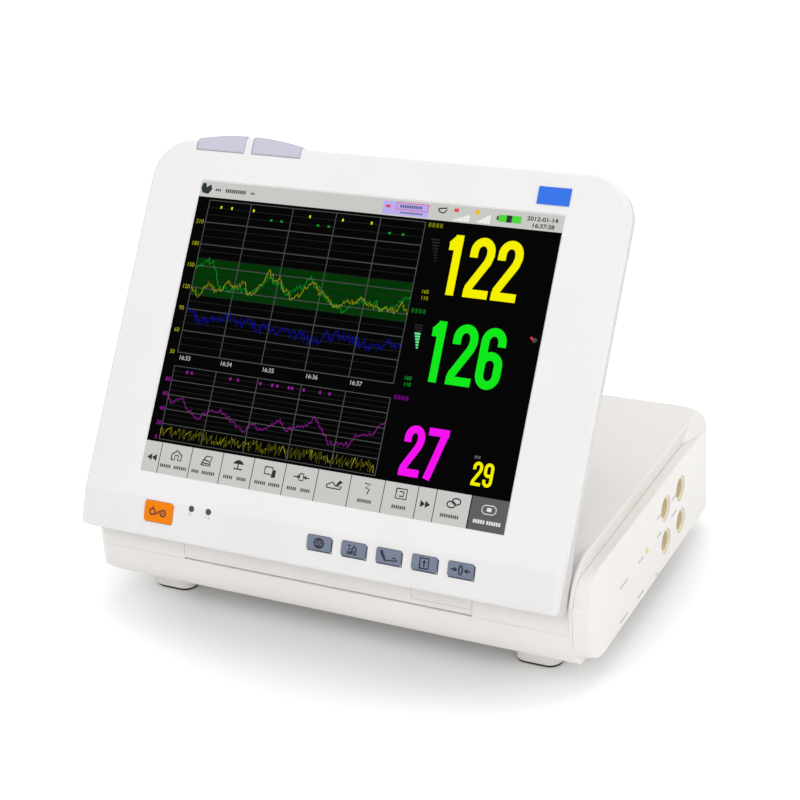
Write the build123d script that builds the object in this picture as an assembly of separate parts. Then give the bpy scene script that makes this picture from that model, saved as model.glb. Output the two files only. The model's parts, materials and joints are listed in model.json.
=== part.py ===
"""Folding-screen cardiotocograph: a low base with a chart printer, and a display head that tilts over it.

X runs to the right, Y to the back and Z up, in millimetres. The datum is the floor under the middle of
the head, halfway along the base. The last step moves the whole part so that its origin is the middle
of its footprint on the floor.
"""
import os
from math import cos, pi, radians, sin, tan

from build123d import *

# Shared clearances and the overrun of every cutter
overrun = 5.0
seat_gap = 0.15
slide_gap = 0.3
running_gap = 0.05
wall = 2.8
sheet = 1.5
board = 1.6
face_match = 0.01
edge_band = 1.0

# Base body: a rounded block, seen from the side, on four feet
base_width = 328.0
base_left = -base_width / 2
base_right = base_width / 2
base_depth = 232.0
base_front = -base_depth / 2
base_rear = base_depth / 2
floor_gap = 13.3
base_height = 70.7
base_top = floor_gap + base_height
parting_drop = 40.5
parting = base_top - parting_drop
front_top_radius = 42.0
rail_width = 1.8
rail_radius = 30.0
rail_edge = 0.8
front_low_radius = 27.0
rear_low_radius = 14.0
left_low_radius = 24.0
deck_edge_radius = 6.0
right_low_radius = 6.0
front_left_radius = 12.0
rear_corner_radius = 22.0

# Right side module: a raised cover with four round sockets in its face
module_width = 9.0
module_face = base_right + module_width
module_drop = 5.7
module_lift = 5.8
module_setback = 3.4
module_front = base_front + module_setback
module_top_radius = 25.0
module_low_radius = 24.0
module_wall = 2.4
module_edge_radius = 0.8
root_setback = 0.8
root_lift = 6.4
root_low_radius = 22.0
valley_drop = 9.5
valley_setback = 3.2
valley_radius = 15.0
valley_end_rise = 17.5
shoulder_inset = 41.0
shoulder_start = base_rear - shoulder_inset
shoulder_length = 20.0
shoulder_width = 10.0

# Four probe sockets
socket_columns = (18.1, 45.8)
socket_drops = (48.0, 25.0)
socket_rows = [base_top - drop for drop in socket_drops]
socket_radius = 8.2
socket_bore_radius = 6.2
socket_depth = 7.0
socket_seat = 2.0
socket_floor = 1.6
socket_flange_radius = 9.6
socket_flange = 1.6
socket_recess = 0.8
contact_radius = 0.6
contact_circle = 3.4
contact_count = 6
insert_radius = 5.4
keyway_width = 1.6
keyway_depth = 0.8
lens_radius = 1.8
lens_column = -16.3
lens_drop = 36.5
lens_height = base_top - lens_drop
lens_stand = 0.4

# Head: a flat case around a 12.1 inch display, in its own frame on the front face of the case
tilt_back = 34.27
screen_width = 246.0
screen_tall = 186.34
side_border = 38.0
top_border = 25.83
low_border = 39.13
crease_below = 16.03
head_width = screen_width + 2 * side_border
head_high = screen_tall / 2 + top_border
head_low = -screen_tall / 2 - low_border
crease = -screen_tall / 2 - crease_below
bezel_depth = 8.5
head_side_depth = 13.5
head_back_depth = 24.0
head_wall = 2.8
head_side_wall = 2.4
cover_wall = 2.4
head_top_radius = 26.0
head_low_radius = 3.4
head_front_radius = 2.6
strip_slope = 11.0
chin_start = 19.2
chin_middle = 6.8
chin_depth = 20.6
chin_foot_depth = 19.4
chin_gap = 2.0
window_chamfer = 0.8
hump_inset = 7.0
hump_rise = 9.17
hump_low = hump_rise - screen_tall / 2
hump_slope = 38.0
hump_top_radius = 20.0
hump_low_radius = 12.0

# Alarm lamps: two lenses in a low arched land on the head's top edge
land_inset = 0.4
land_width = 81.4
land_left = -head_width / 2 + head_top_radius + land_inset
land_right = land_left + land_width
land_rise = 4.6
lamp_drop = 6.4
lamp_low = head_high - lamp_drop
lamp_gap = 5.2
lamp_end_wall = 3.0
lamp_stand = 0.5
lamp_seat = 0.2
lamp_radius = 1.4

# Display stack
glass_recess = 1.0
glass_margin = 2.5
panel_margin_x = 8.0
panel_margin_y = 9.0
panel_thickness = 5.6
head_board_margin = 28.0
head_board_gap = 3.0
lamp_board_tall = 8.0
lamp_board_gap = 0.6

# Controls on the lower strip, placed from the crease along the strip
control_drop = 7.9
key_count = 5
key_first = 9.2
key_pitch = 23.0
key_width = 16.2
key_tall = 8.6
key_radius = 1.3
key_stand = 0.6
key_travel = 0.8
key_flange = 1.0
key_flange_thickness = 0.8
key_stem = 0.4
power_x = -103.8
power_width = 20.4
power_tall = 12.8
power_drop = 7.7
power_radius = 1.8
power_stand = 0.8
indicator_columns = (-80.7, -68.6)
indicator_drop = 1.9
indicator_radius = 1.8
indicator_stand = 0.2
indicator_flange = 0.3
key_board_tall = 11.0
key_board_thickness = 1.0
switch_side = 5.0

# Tilt hinge: two clevises on the head's back cover and two knuckles on the base
hinge_inset = 60.0
hinge_setback = 21.84
hinge_rise = 0.98
hinge_below = 1.83
hinge_places = (base_left + hinge_inset, base_right - hinge_inset)
hinge_y = base_front + hinge_setback
hinge_z = base_top + hinge_rise
hinge_drop = -screen_tall / 2 - hinge_below
knuckle_radius = 7.0
knuckle_width = 12.0
ear_width = 7.0
ear_gap = 0.4
hinge_pin_radius = 3.0
pocket_gap = 1.2
tilt_lowest = 30.0
tilt_highest = 90.0
tilt_min = tilt_lowest - tilt_back
tilt_max = tilt_highest - tilt_back
bracket_foot = 4.0
bracket_web = 9.0

# Printer door in the front, hinged along its lower edge, with a release key at its right
door_left_margin = 68.7
door_right_margin = 62.3
door_left = base_left + door_left_margin
door_right = base_right - door_right_margin
door_gap = 0.25
door_drop = 23.0
door_top = base_top - door_drop
door_top_gap = 1.2
door_wall = 3.0
door_hinge_radius = 2.0
door_pin_radius = 1.0
door_pin_length = 4.0
door_open = 85.0
slot_height = 2.2
jamb_width = 7.0
jamb_depth = 6.0
release_width = 38.8
release_rise = 4.5
release_left = door_right - release_width
release_low = parting + release_rise
release_thickness = 1.2
release_travel = 0.8

# Chart printer
paper_margin = 23.5
paper_width = door_right - door_left - 2 * paper_margin
paper_depth = 90.0
paper_height = 12.0
chart_x = (door_left + door_right) / 2
tray_rise = 3.5
tray_floor = parting + tray_rise
tray_wall = 1.6
tray_gap = 1.5
tray_front_gap = 14.0
roller_radius = 6.0
roller_setback = 20.8
roller_drop = 17.6
roller_y = base_front + roller_setback
roller_z = base_top - roller_drop
roller_shaft_radius = 2.5
roller_grip = 1.8
bearing_radius = 4.5
bearing_width = 3.0
print_head_depth = 5.0
print_head_tall = 11.0
heat_sink_fins = 5
shaft_end = 4.0

# Boards and power inside the base
battery_width = 110.0
battery_depth_share = 0.2845
battery_depth = battery_depth_share * base_depth
battery_place_share = 0.3534
battery_y = base_front + battery_place_share * base_depth
battery_gap = 1.0
battery_clearance = 6.9
cover_lip = 6.0
cover_thickness = 2.4
battery_height = tray_floor - tray_wall - battery_clearance - battery_gap - wall - cover_thickness - floor_gap
supply_width = 78.0
supply_inset = 63.0
supply_x = base_right - supply_inset
supply_height = 15.6
supply_block_share = 0.6
supply_front_gap = 9.0
board_side_gap = 27.0
board_gap = 13.0
board_front_gap = 6.2
board_rear_gap = 19.0
main_board_left = base_left + board_side_gap
main_board_right = supply_x - supply_width / 2 - board_gap
main_board_front = battery_y + battery_depth / 2 + battery_gap + wall + board_front_gap
main_board_rear = base_rear - board_rear_gap
main_board_height = 27.0
pillar_radius = 3.0
speaker_radius = 15.0
speaker_depth = 12.0
speaker_y = 40.0
speaker_drop = 21.0
speaker_z = base_top - speaker_drop
speaker_magnet_radius = 9.0
speaker_frame = 4.0
grille_slots = 7
grille_pitch = 5.0
grille_slot = 2.2
grille_tall = 20.0

# Connections on a panel let into the rear face
panel_inset_right = 18.0
panel_inset_left = 158.0
panel_tall = 28.0
panel_lip = 2.5
panel_lip_thickness = 1.2
inlet_inset = 52.0
inlet_drop = 24.0
inlet_x = base_right - inlet_inset
inlet_z = base_top - inlet_drop
inlet_width = 27.4
inlet_tall = 20.0
inlet_flange_width = 50.0
inlet_flange_tall = 24.0
inlet_flange = 2.4
inlet_depth = 18.0
inlet_wall = 2.0
inlet_radius = 3.0
inlet_screw_pitch = 40.0
blade_width = 2.0
blade_tall = 5.0
blade_pitch = 7.0
earth_inset = 96.0
earth_x = base_right - earth_inset
earth_radius = 3.0
earth_length = 12.0
earth_collar_radius = 8.0
earth_collar = 2.0
network_inset = 144.0
network_x = base_right - network_inset
network_width = 13.0
network_tall = 9.0
network_depth = 14.0
network_wall = 1.6

# Feet
foot_side_inset = 35.5
foot_front_inset = 37.8
foot_rear_inset = 32.0
foot_columns = (base_left + foot_side_inset, base_right - foot_side_inset)
foot_front = base_front + foot_front_inset
foot_back = base_rear - foot_rear_inset
foot_width = 31.0
foot_depth = 24.0
foot_radius = 9.0
foot_flare = 4.0
pad_thickness = 1.6
pad_inset = 1.5

# Screws
screw_radius = 1.5
screw_head_radius = 2.9
screw_head = 2.0
screw_length = 9.0
screw_boss_radius = 4.2
case_screw_seat = floor_gap + wall + screw_head
case_screw_length = 34.0
case_screw_side = 24.0
case_screw_front = 58.0
case_screw_rear = 12.0
case_screw_columns = (base_left + case_screw_side, base_right - case_screw_side)
case_screw_rows = (base_front + case_screw_front, base_rear - case_screw_rear)
head_screw_gap = 4.8
head_screw_edge = 23.0
head_screw_x = screen_width / 2 + panel_margin_x + screw_boss_radius + head_screw_gap
head_screw_y = head_high - head_screw_edge
head_screw_seat = bezel_depth + seat_gap + cover_wall
head_well_radius = screw_head_radius + slide_gap

# Frames that the pieces are drawn in
lean_sin, lean_cos = sin(radians(tilt_back)), cos(radians(tilt_back))
screen_y = hinge_y - hinge_drop * lean_sin - head_back_depth * lean_cos
screen_height = hinge_z - hinge_drop * lean_cos + head_back_depth * lean_sin
head_plane = Plane(origin=(0, screen_y, screen_height), x_dir=(1, 0, 0), z_dir=(0, -lean_cos, lean_sin))
head_place = head_plane.location
strip_place = Location((0, crease, 0), (strip_slope, 0, 0))
door_hinge_y = base_front + door_hinge_radius
door_hinge_z = parting + door_gap + door_hinge_radius

parts = {}


def block(x0, x1, y0, y1, z0, z1):
    """A box between two corners"""
    return Pos((x0 + x1) / 2, (y0 + y1) / 2, (z0 + z1) / 2) * Box(x1 - x0, y1 - y0, z1 - z0)


def rod_x(radius, x0, x1, y, z):
    """A cylinder along X"""
    return extrude(Plane.YZ.offset(x0) * Pos(y, z) * Circle(radius), x1 - x0)


def rod_y(radius, y0, y1, x, z):
    """A cylinder along Y"""
    return Pos(x, (y0 + y1) / 2, z) * Rot(90, 0, 0) * Cylinder(radius, y1 - y0)


def rod_z(radius, z0, z1, x, y):
    """A cylinder along Z"""
    return Pos(x, y, (z0 + z1) / 2) * Cylinder(radius, z1 - z0)


def together(pieces):
    """Several separate solids as one piece"""
    result = pieces[0]
    for piece in pieces[1:]:
        result += piece
    return result


def rounded(x0, x1, y0, y1, low_left=0.0, low_right=0.0, high_right=0.0, high_left=0.0):
    """A rectangle whose corners each have their own radius"""
    corners = (
        (x0, y0, 1, 1, low_left),
        (x1, y0, -1, 1, low_right),
        (x1, y1, -1, -1, high_right),
        (x0, y1, 1, -1, high_left),
    )
    half = sin(pi / 4)
    ends = []
    edges = []
    for index, (x, y, sx, sy, radius) in enumerate(corners):
        along_x = (x + sx * radius, y)
        along_y = (x, y + sy * radius)
        first, last = (along_y, along_x) if index % 2 == 0 else (along_x, along_y)
        ends.append((first, last))
        if radius > 0:
            middle = (x + sx * radius * (1 - half), y + sy * radius * (1 - half))
            edges.append(ThreePointArc(first, middle, last))
    for index in range(4):
        start = ends[index][1]
        stop = ends[(index + 1) % 4][0]
        edges.append(Line(start, stop))
    return make_face(edges)


def base_block(inset=0.0, deck_edge=0.0):
    """The base's outer form, or its cavity when it is inset by the wall"""
    low, high = floor_gap + inset, base_top - inset
    left, right = base_left + inset, module_face - inset
    front, rear = base_front + inset, base_rear - inset
    plan = rounded(left, right, front, rear, front_left_radius - inset, 0.0,
                   rear_corner_radius - inset, rear_corner_radius - inset)
    form = extrude(Plane.XY.offset(low) * plan, high - low)
    if deck_edge > 0:
        top_edges = form.edges().filter_by(lambda edge: abs(edge.center().Z - high) < face_match)
        top_edges = top_edges.filter_by(lambda edge: edge.center().Y > front + edge_band)
        form = fillet(top_edges, deck_edge)
    side = rounded(front, rear, low, high, front_low_radius - inset, rear_low_radius - inset,
                   0.0, front_top_radius - inset)
    form &= extrude(Plane.YZ.offset(left - overrun) * side, right - left + 2 * overrun)
    end_view = rounded(left, right, low, high, left_low_radius - inset)
    form &= extrude(Plane.XZ.offset(-rear - overrun) * end_view, rear - front + 2 * overrun)
    return form


def shoulder_form():
    """Everything under the slope from the deck down to the top of the module's face"""
    side = module_face + overrun
    drop = (module_drop - seat_gap) * (shoulder_width + overrun) / shoulder_width
    outline = Polyline((base_left - overrun, 0), (side, 0), (side, base_top - drop),
                       (module_face - shoulder_width, base_top), (module_face - shoulder_width, base_top + overrun),
                       (base_left - overrun, base_top + overrun), close=True)
    return extrude(Plane.XZ.offset(-base_rear - overrun) * make_face(outline), base_depth + 2 * overrun)


def rail_zone():
    """The strip along the right edge of the base that the rail takes up"""
    return block(base_right - rail_width, base_right, base_front - overrun, shoulder_start, parting,
                 base_top + overrun)


def rail_form():
    """The thin rail along the right edge of the base, fuller than the deck's front curve"""
    side = rounded(base_front, base_rear, floor_gap, base_top, front_low_radius, rear_low_radius, 0.0, rail_radius)
    rail = extrude(Plane.YZ.offset(base_right - rail_width) * side, rail_width)
    crest = rail.faces().sort_by(Axis.X)[-1].edges()
    crest = crest.filter_by(lambda edge: edge.center().Z > base_top - rail_radius / 2)
    return fillet(crest, rail_edge) & rail_zone()


def module_outline(x, setback, lift, drop, low_radius, high_radius):
    """The side module's outline in the plane at x"""
    face = rounded(base_front + setback, base_rear, floor_gap + lift, base_top - drop, low_radius, rear_low_radius,
                   0.0, high_radius)
    return Plane.YZ.offset(x) * face


def module_form():
    """The side module's outer form: flush with the base low down, hollowed to a valley along the ridge above"""
    root = base_right + seat_gap
    outer = module_outline(module_face, module_setback, module_lift, module_drop, module_low_radius,
                           module_top_radius)
    flush = module_outline(root, root_setback, root_lift, valley_drop, root_low_radius, valley_radius)
    valley = module_outline(root, valley_setback, root_lift, valley_drop, root_low_radius, valley_radius)
    ledge = parting + valley_end_rise
    below = block(base_right - overrun, module_face + overrun, base_front, base_rear, 0, ledge)
    forms = []
    for inner in (flush, valley):
        form = loft([inner, outer], ruled=True)
        forms.append(fillet(form.faces().sort_by(Axis.X)[-1].edges(), module_edge_radius))
    plan = rounded(base_left, module_face, base_front - overrun, base_rear, 0.0, 0.0, rear_corner_radius, 0.0)
    return ((forms[0] & below) + (forms[1] - below)) & extrude(plan, base_top)


def rebate():
    """Everything right of the base's side wall that is left to the module; at the rear it rises to the deck"""
    left, right = base_right, module_face + overrun
    low = base_top - valley_drop + seat_gap
    rise = (valley_drop - module_drop) * (right - left) / module_width
    section = Polyline((left, -overrun), (right, -overrun), (right, low + rise), (left, low), close=True)
    body = extrude(Plane.XZ.offset(-base_rear - overrun) * make_face(section), base_depth + 2 * overrun)
    top = base_top + overrun
    steep = (base_top - low) / shoulder_length
    ramp = Polyline((base_front - overrun, low), (shoulder_start, low),
                    (shoulder_start + shoulder_length + overrun, low + steep * (shoulder_length + overrun)),
                    (shoulder_start + shoulder_length + overrun, top), (base_front - overrun, top), close=True)
    return body + extrude(Plane.YZ.offset(left) * make_face(ramp), right - left)


def socket_places():
    """Centres of the probe sockets on the module's face"""
    return [(y, z) for z in socket_rows for y in socket_columns]


def hinge_pockets():
    """Pockets in the deck that the head's hinge ears swing in, open to the front"""
    half = knuckle_width / 2 + ear_gap + ear_width + pocket_gap
    reach = knuckle_radius + pocket_gap
    upright = radians(tilt_back + tilt_min)
    forward = (-cos(upright), sin(upright))
    down = (-sin(upright), -cos(upright))
    long = rail_radius
    start = (hinge_y + reach * down[0], hinge_z + reach * down[1])
    ahead = (start[0] + long * forward[0], start[1] + long * forward[1])
    floor_line = Polyline(start, ahead, (ahead[0], ahead[1] + long), (start[0], ahead[1] + long), close=True)
    cutter = None
    for x in hinge_places:
        drum = rod_x(reach, x - half, x + half, hinge_y, hinge_z)
        ramp = extrude(Plane.YZ.offset(x - half) * make_face(floor_line), 2 * half)
        pair = drum + ramp
        cutter = pair if cutter is None else cutter + pair
    return cutter


def build_housings():
    """The two halves of the base housing, split at the parting height"""
    outer = (base_block(0.0, deck_edge_radius) & shoulder_form()) - rebate()
    outer -= rail_zone()
    outer += rail_form()
    cavity = base_block(wall) - block(base_right - wall, module_face + overrun, base_front - overrun,
                                      base_rear + overrun, 0, base_top + overrun)
    above = block(base_left - overrun, module_face + overrun, base_front - overrun, base_rear + overrun,
                  parting, base_top + overrun)
    upper = (outer & above) - cavity
    lower = outer - block(base_left - overrun, module_face + overrun, base_front - overrun,
                          base_rear + overrun, parting - seat_gap, base_top + overrun)
    lower -= cavity
    end_view = rounded(base_left, base_right, floor_gap, base_top, left_low_radius, right_low_radius)
    lower &= extrude(Plane.XZ.offset(-base_rear - overrun) * end_view, base_depth + 2 * overrun)
    upper = add_hinge_seats(upper)
    upper = add_screw_bosses(upper)
    upper = cut_front(upper)
    upper -= panel_block(0.0, base_rear - wall - overrun, base_rear + overrun)
    upper = cut_grille(upper)
    lower = add_lower_details(lower)
    for y, z in socket_places():
        hole = rod_x(socket_radius + slide_gap, base_right - wall - overrun, base_right + overrun / 2, y, z)
        upper -= hole
        lower -= hole
    lens_hole = rod_x(lens_radius + slide_gap, base_right - wall - overrun, base_right + overrun / 2,
                      lens_column, lens_height)
    upper -= lens_hole
    parts["base_upper_housing"] = upper
    parts["base_lower_housing"] = lower


def add_hinge_seats(upper):
    """Solid blocks under the deck that carry the hinge, with the pockets cut into them"""
    half = knuckle_width / 2 + ear_gap + ear_width + pocket_gap + wall
    low = hinge_z - knuckle_radius - pocket_gap - bracket_foot - wall
    inside = base_block(wall / 2)
    for x in hinge_places:
        seat = block(x - half, x + half, base_front, hinge_y + knuckle_radius + pocket_gap + wall, low, base_top)
        upper += seat & inside
    upper -= hinge_pockets()
    for x in hinge_places:
        upper -= knuckle_foot(x, seat_gap)
    return upper


def cut_front(upper):
    """The door's opening, the paper slot above it, and thick jambs that hold the door's pins"""
    inside = base_block(wall / 2)
    for x0, x1 in ((door_left - door_gap - jamb_width, door_left - door_gap),
                   (door_right + door_gap, door_right + door_gap + jamb_width)):
        jamb = block(x0, x1, base_front, base_front + jamb_depth, parting, door_top + door_top_gap + slot_height)
        upper += jamb & inside
    upper -= block(door_left - door_gap, door_right + door_gap, base_front - overrun, base_front + jamb_depth * 2,
                   parting - overrun, door_top + door_top_gap)
    upper -= block(chart_x - paper_width / 2 - tray_gap, chart_x + paper_width / 2 + tray_gap,
                   base_front - overrun, base_front + jamb_depth * 2, door_top, door_top + door_top_gap + slot_height)
    pin_reach = door_pin_length + slide_gap
    for x0, x1 in ((door_left - door_gap - pin_reach, door_left + overrun),
                   (door_right - overrun, door_right + door_gap + pin_reach)):
        upper -= rod_x(door_pin_radius + running_gap, x0, x1, door_hinge_y, door_hinge_z)
    return upper


def add_screw_bosses(upper):
    """Posts under the deck that take the case screws"""
    for x, y in case_screw_places():
        upper += rod_z(screw_boss_radius, parting, base_top - wall / 2, x, y) & base_block(wall / 2)
        upper -= rod_z(screw_radius, parting - overrun, case_screw_seat + case_screw_length + seat_gap, x, y)
    return upper


def panel_block(grow, y0, y1):
    """The rear panel's rectangle, grown on all four sides, between two depths"""
    return block(base_right - panel_inset_left - grow, base_right - panel_inset_right + grow, y0, y1,
                 inlet_z - panel_tall / 2 - grow, inlet_z + panel_tall / 2 + grow)


def build_rear_panel():
    """The panel in the rear wall, with a lip behind the wall and holes for the connections"""
    inner = base_rear - wall
    panel = panel_block(-seat_gap, inner, base_rear)
    panel += panel_block(panel_lip, inner - panel_lip_thickness, inner)
    parts["rear_panel"] = cut_rear(panel)


def cut_rear(upper):
    """Holes in the rear panel for the mains inlet, the earth stud and the network socket"""
    back0, back1 = base_rear - wall - overrun, base_rear + overrun
    upper -= block(inlet_x - inlet_width / 2 - seat_gap, inlet_x + inlet_width / 2 + seat_gap, back0, back1,
                   inlet_z - inlet_tall / 2 - seat_gap, inlet_z + inlet_tall / 2 + seat_gap)
    for side in (-1, 1):
        upper -= rod_y(screw_radius, back0, back1, inlet_x + side * inlet_screw_pitch / 2, inlet_z)
    upper -= rod_y(earth_radius + seat_gap, back0, back1, earth_x, inlet_z)
    upper -= block(network_x - network_width / 2 - network_wall - seat_gap,
                   network_x + network_width / 2 + network_wall + seat_gap, back0, back1,
                   inlet_z - network_tall / 2 - network_wall - seat_gap,
                   inlet_z + network_tall / 2 + network_wall + seat_gap)
    return upper


def cut_grille(upper):
    """Sound slots in the left wall, in front of the loudspeaker"""
    for index in range(grille_slots):
        y = speaker_y + (index - (grille_slots - 1) / 2) * grille_pitch
        upper -= block(base_left - overrun, base_left + wall + overrun, y - grille_slot / 2, y + grille_slot / 2,
                       speaker_z - grille_tall / 2, speaker_z + grille_tall / 2)
    return upper


def battery_zone(grow, low, high):
    """The battery's rectangle, grown on all four sides"""
    return block(-battery_width / 2 - grow, battery_width / 2 + grow,
                 battery_y - battery_depth / 2 - grow, battery_y + battery_depth / 2 + grow, low, high)


def add_lower_details(lower):
    """Battery bay, screw bosses, pillars for the boards and the openings in the bottom"""
    bay_top = floor_gap + cover_thickness + battery_height + battery_gap
    bay = battery_zone(battery_gap + wall, floor_gap + wall / 2, bay_top + wall)
    lower += bay
    lower -= battery_zone(battery_gap, floor_gap - overrun, bay_top)
    lower -= battery_zone(battery_gap + cover_lip, floor_gap - overrun, floor_gap + cover_thickness + seat_gap)
    for side in (-1, 1):
        place = (side * (battery_width / 2 + battery_gap + cover_lip / 2), battery_y)
        lower -= rod_z(screw_radius, floor_gap, floor_gap + screw_length, *place)
    shelf = floor_gap + wall
    for x, y in case_screw_places():
        lower += rod_z(screw_boss_radius, floor_gap + wall / 2, parting - seat_gap, x, y) & base_block(wall / 2)
        lower -= rod_z(screw_radius + slide_gap, floor_gap - overrun, parting + overrun, x, y)
        lower -= rod_z(screw_head_radius + slide_gap, floor_gap - overrun, case_screw_seat, x, y)
    for x, y in board_pillars():
        lower += rod_z(pillar_radius, shelf - wall / 2, floor_gap + main_board_height, x, y)
    return lower


def case_screw_places():
    """Screws that hold the two halves of the base together"""
    return [(x, y) for x in case_screw_columns for y in case_screw_rows]


def board_pillars():
    """Pillars under the corners of the main board and of the power supply"""
    spans = ((main_board_left, main_board_right), (supply_x - supply_width / 2, supply_x + supply_width / 2))
    rows = (main_board_front + 2 * pillar_radius, main_board_rear - 2 * pillar_radius)
    return [(x, y) for left, right in spans for x in (left + 2 * pillar_radius, right - 2 * pillar_radius)
            for y in rows]


def build_module():
    """The side module's cover, with holes for its sockets and its lamp"""
    cover = module_form()
    inner_front = module_front + module_wall
    hollow = rounded(inner_front, base_rear - rear_corner_radius / 2, floor_gap + root_lift + module_wall,
                     base_top - valley_drop - module_wall, module_low_radius - module_wall, module_wall, module_wall,
                     module_top_radius - module_wall)
    cover -= extrude(Plane.YZ.offset(base_right - overrun) * hollow, overrun + module_width - module_wall)
    for y, z in socket_places():
        cover -= rod_x(socket_radius + seat_gap, base_right, module_face + overrun, y, z)
    cover -= rod_x(lens_radius + seat_gap, base_right, module_face + overrun, lens_column, lens_height)
    parts["side_module_cover"] = cover
    lens = rod_x(lens_radius, base_right - wall, module_face + lens_stand, lens_column, lens_height)
    parts["module_lamp_lens"] = fillet(lens.edges().sort_by(Axis.X)[-1], lens_stand)
    for index, (y, z) in enumerate(socket_places(), 1):
        build_socket(index, y, z)


def build_socket(index, y, z):
    """A round probe socket: a cup with a keyway behind the cover's face, and its contact insert"""
    face = module_face - socket_recess
    inner = module_face - module_wall - seat_gap
    floor_x = face - socket_depth
    seat_x = floor_x - socket_seat
    cup = rod_x(socket_radius, seat_x - socket_floor, face, y, z)
    cup += rod_x(socket_flange_radius, inner - socket_flange, inner, y, z)
    cup -= rod_x(socket_bore_radius, floor_x, face + overrun, y, z)
    cup -= rod_x(insert_radius, seat_x, face, y, z)
    cup -= block(floor_x, face + overrun, y - keyway_width / 2, y + keyway_width / 2, z,
                 z + socket_bore_radius + keyway_depth)
    mouth = cup.edges().filter_by(GeomType.CIRCLE).filter_by(lambda edge: abs(edge.center().X - face) < face_match)
    cup = chamfer(mouth, socket_recess / 2)
    parts[f"probe_socket_{index}"] = cup
    insert = rod_x(insert_radius, seat_x, floor_x, y, z)
    for number in range(contact_count):
        angle = 2 * pi * number / contact_count
        insert -= rod_x(contact_radius, seat_x - overrun, floor_x + overrun, y + contact_circle * cos(angle),
                        z + contact_circle * sin(angle))
    insert -= rod_x(contact_radius, seat_x - overrun, floor_x + overrun, y, z)
    parts[f"socket_contacts_{index}"] = insert


def build_feet():
    """Four flared feet under the lower housing, with dark rubber pads"""
    pads = []
    left, right = foot_columns
    names = {(left, foot_front): "foot_front_left", (right, foot_front): "foot_front_right",
             (left, foot_back): "foot_rear_left", (right, foot_back): "foot_rear_right"}
    for (x, y), name in names.items():
        outline = RectangleRounded(foot_width, foot_depth, foot_radius)
        foot = extrude(Plane(origin=(x, y, floor_gap + wall), z_dir=(0, 0, -1)) * outline,
                       floor_gap + wall - pad_thickness, taper=foot_flare)
        foot -= foot_cutter(x, y)
        parts[name] = foot
        pad_outline = RectangleRounded(foot_width - 2 * pad_inset, foot_depth - 2 * pad_inset,
                                       foot_radius - pad_inset)
        pads.append(extrude(Plane.XY * Pos(x, y) * pad_outline, pad_thickness))
    parts["foot_pads"] = together(pads)


def foot_cutter(x, y):
    """The lower housing's outer form around a foot, which the foot's top is cut to"""
    return base_block() & block(x - foot_width, x + foot_width, y - foot_depth, y + foot_depth, 0, parting)


def head_prism(inset, near, far):
    """The head's outline, inset, between two depths behind its front face"""
    low_radius = max(head_low_radius - inset, head_low_radius / 4)
    face = rounded(-head_width / 2 + inset, head_width / 2 - inset, head_low + inset, head_high - inset,
                   low_radius, low_radius, head_top_radius - inset, head_top_radius - inset)
    return extrude(Plane.XY.offset(-far) * face, far - near)


def front_slab(depth):
    """Everything behind the head's front surface moved back by a depth; it slopes back below the crease"""
    drop = (crease - head_low + overrun) * tan(radians(strip_slope))
    outline = Polyline((head_high + 2 * overrun, -depth), (crease, -depth), (head_low - overrun, -depth - drop),
                       (head_low - overrun, -4 * head_back_depth), (head_high + 2 * overrun, -4 * head_back_depth),
                       close=True)
    return extrude(Plane.YZ.offset(-head_width) * make_face(outline), 2 * head_width)


def front_depth(height):
    """How far the head's front surface lies behind the screen's plane at a height"""
    return max(0.0, crease - height) * tan(radians(strip_slope))


def land_face(inset):
    """The low arched land above the head's top edge that carries the alarm lamps"""
    left, right = land_left + inset, land_right - inset
    crown = head_high + land_rise - inset
    foot = head_high - inset
    arch = ThreePointArc((left, foot), ((left + right) / 2, crown), (right, foot))
    low = lamp_low + inset if inset > 0 else head_high - head_top_radius / 2
    base = Polyline((right, foot), (right, low), (left, low), (left, foot))
    return make_face([arch, *base.edges()])


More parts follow.
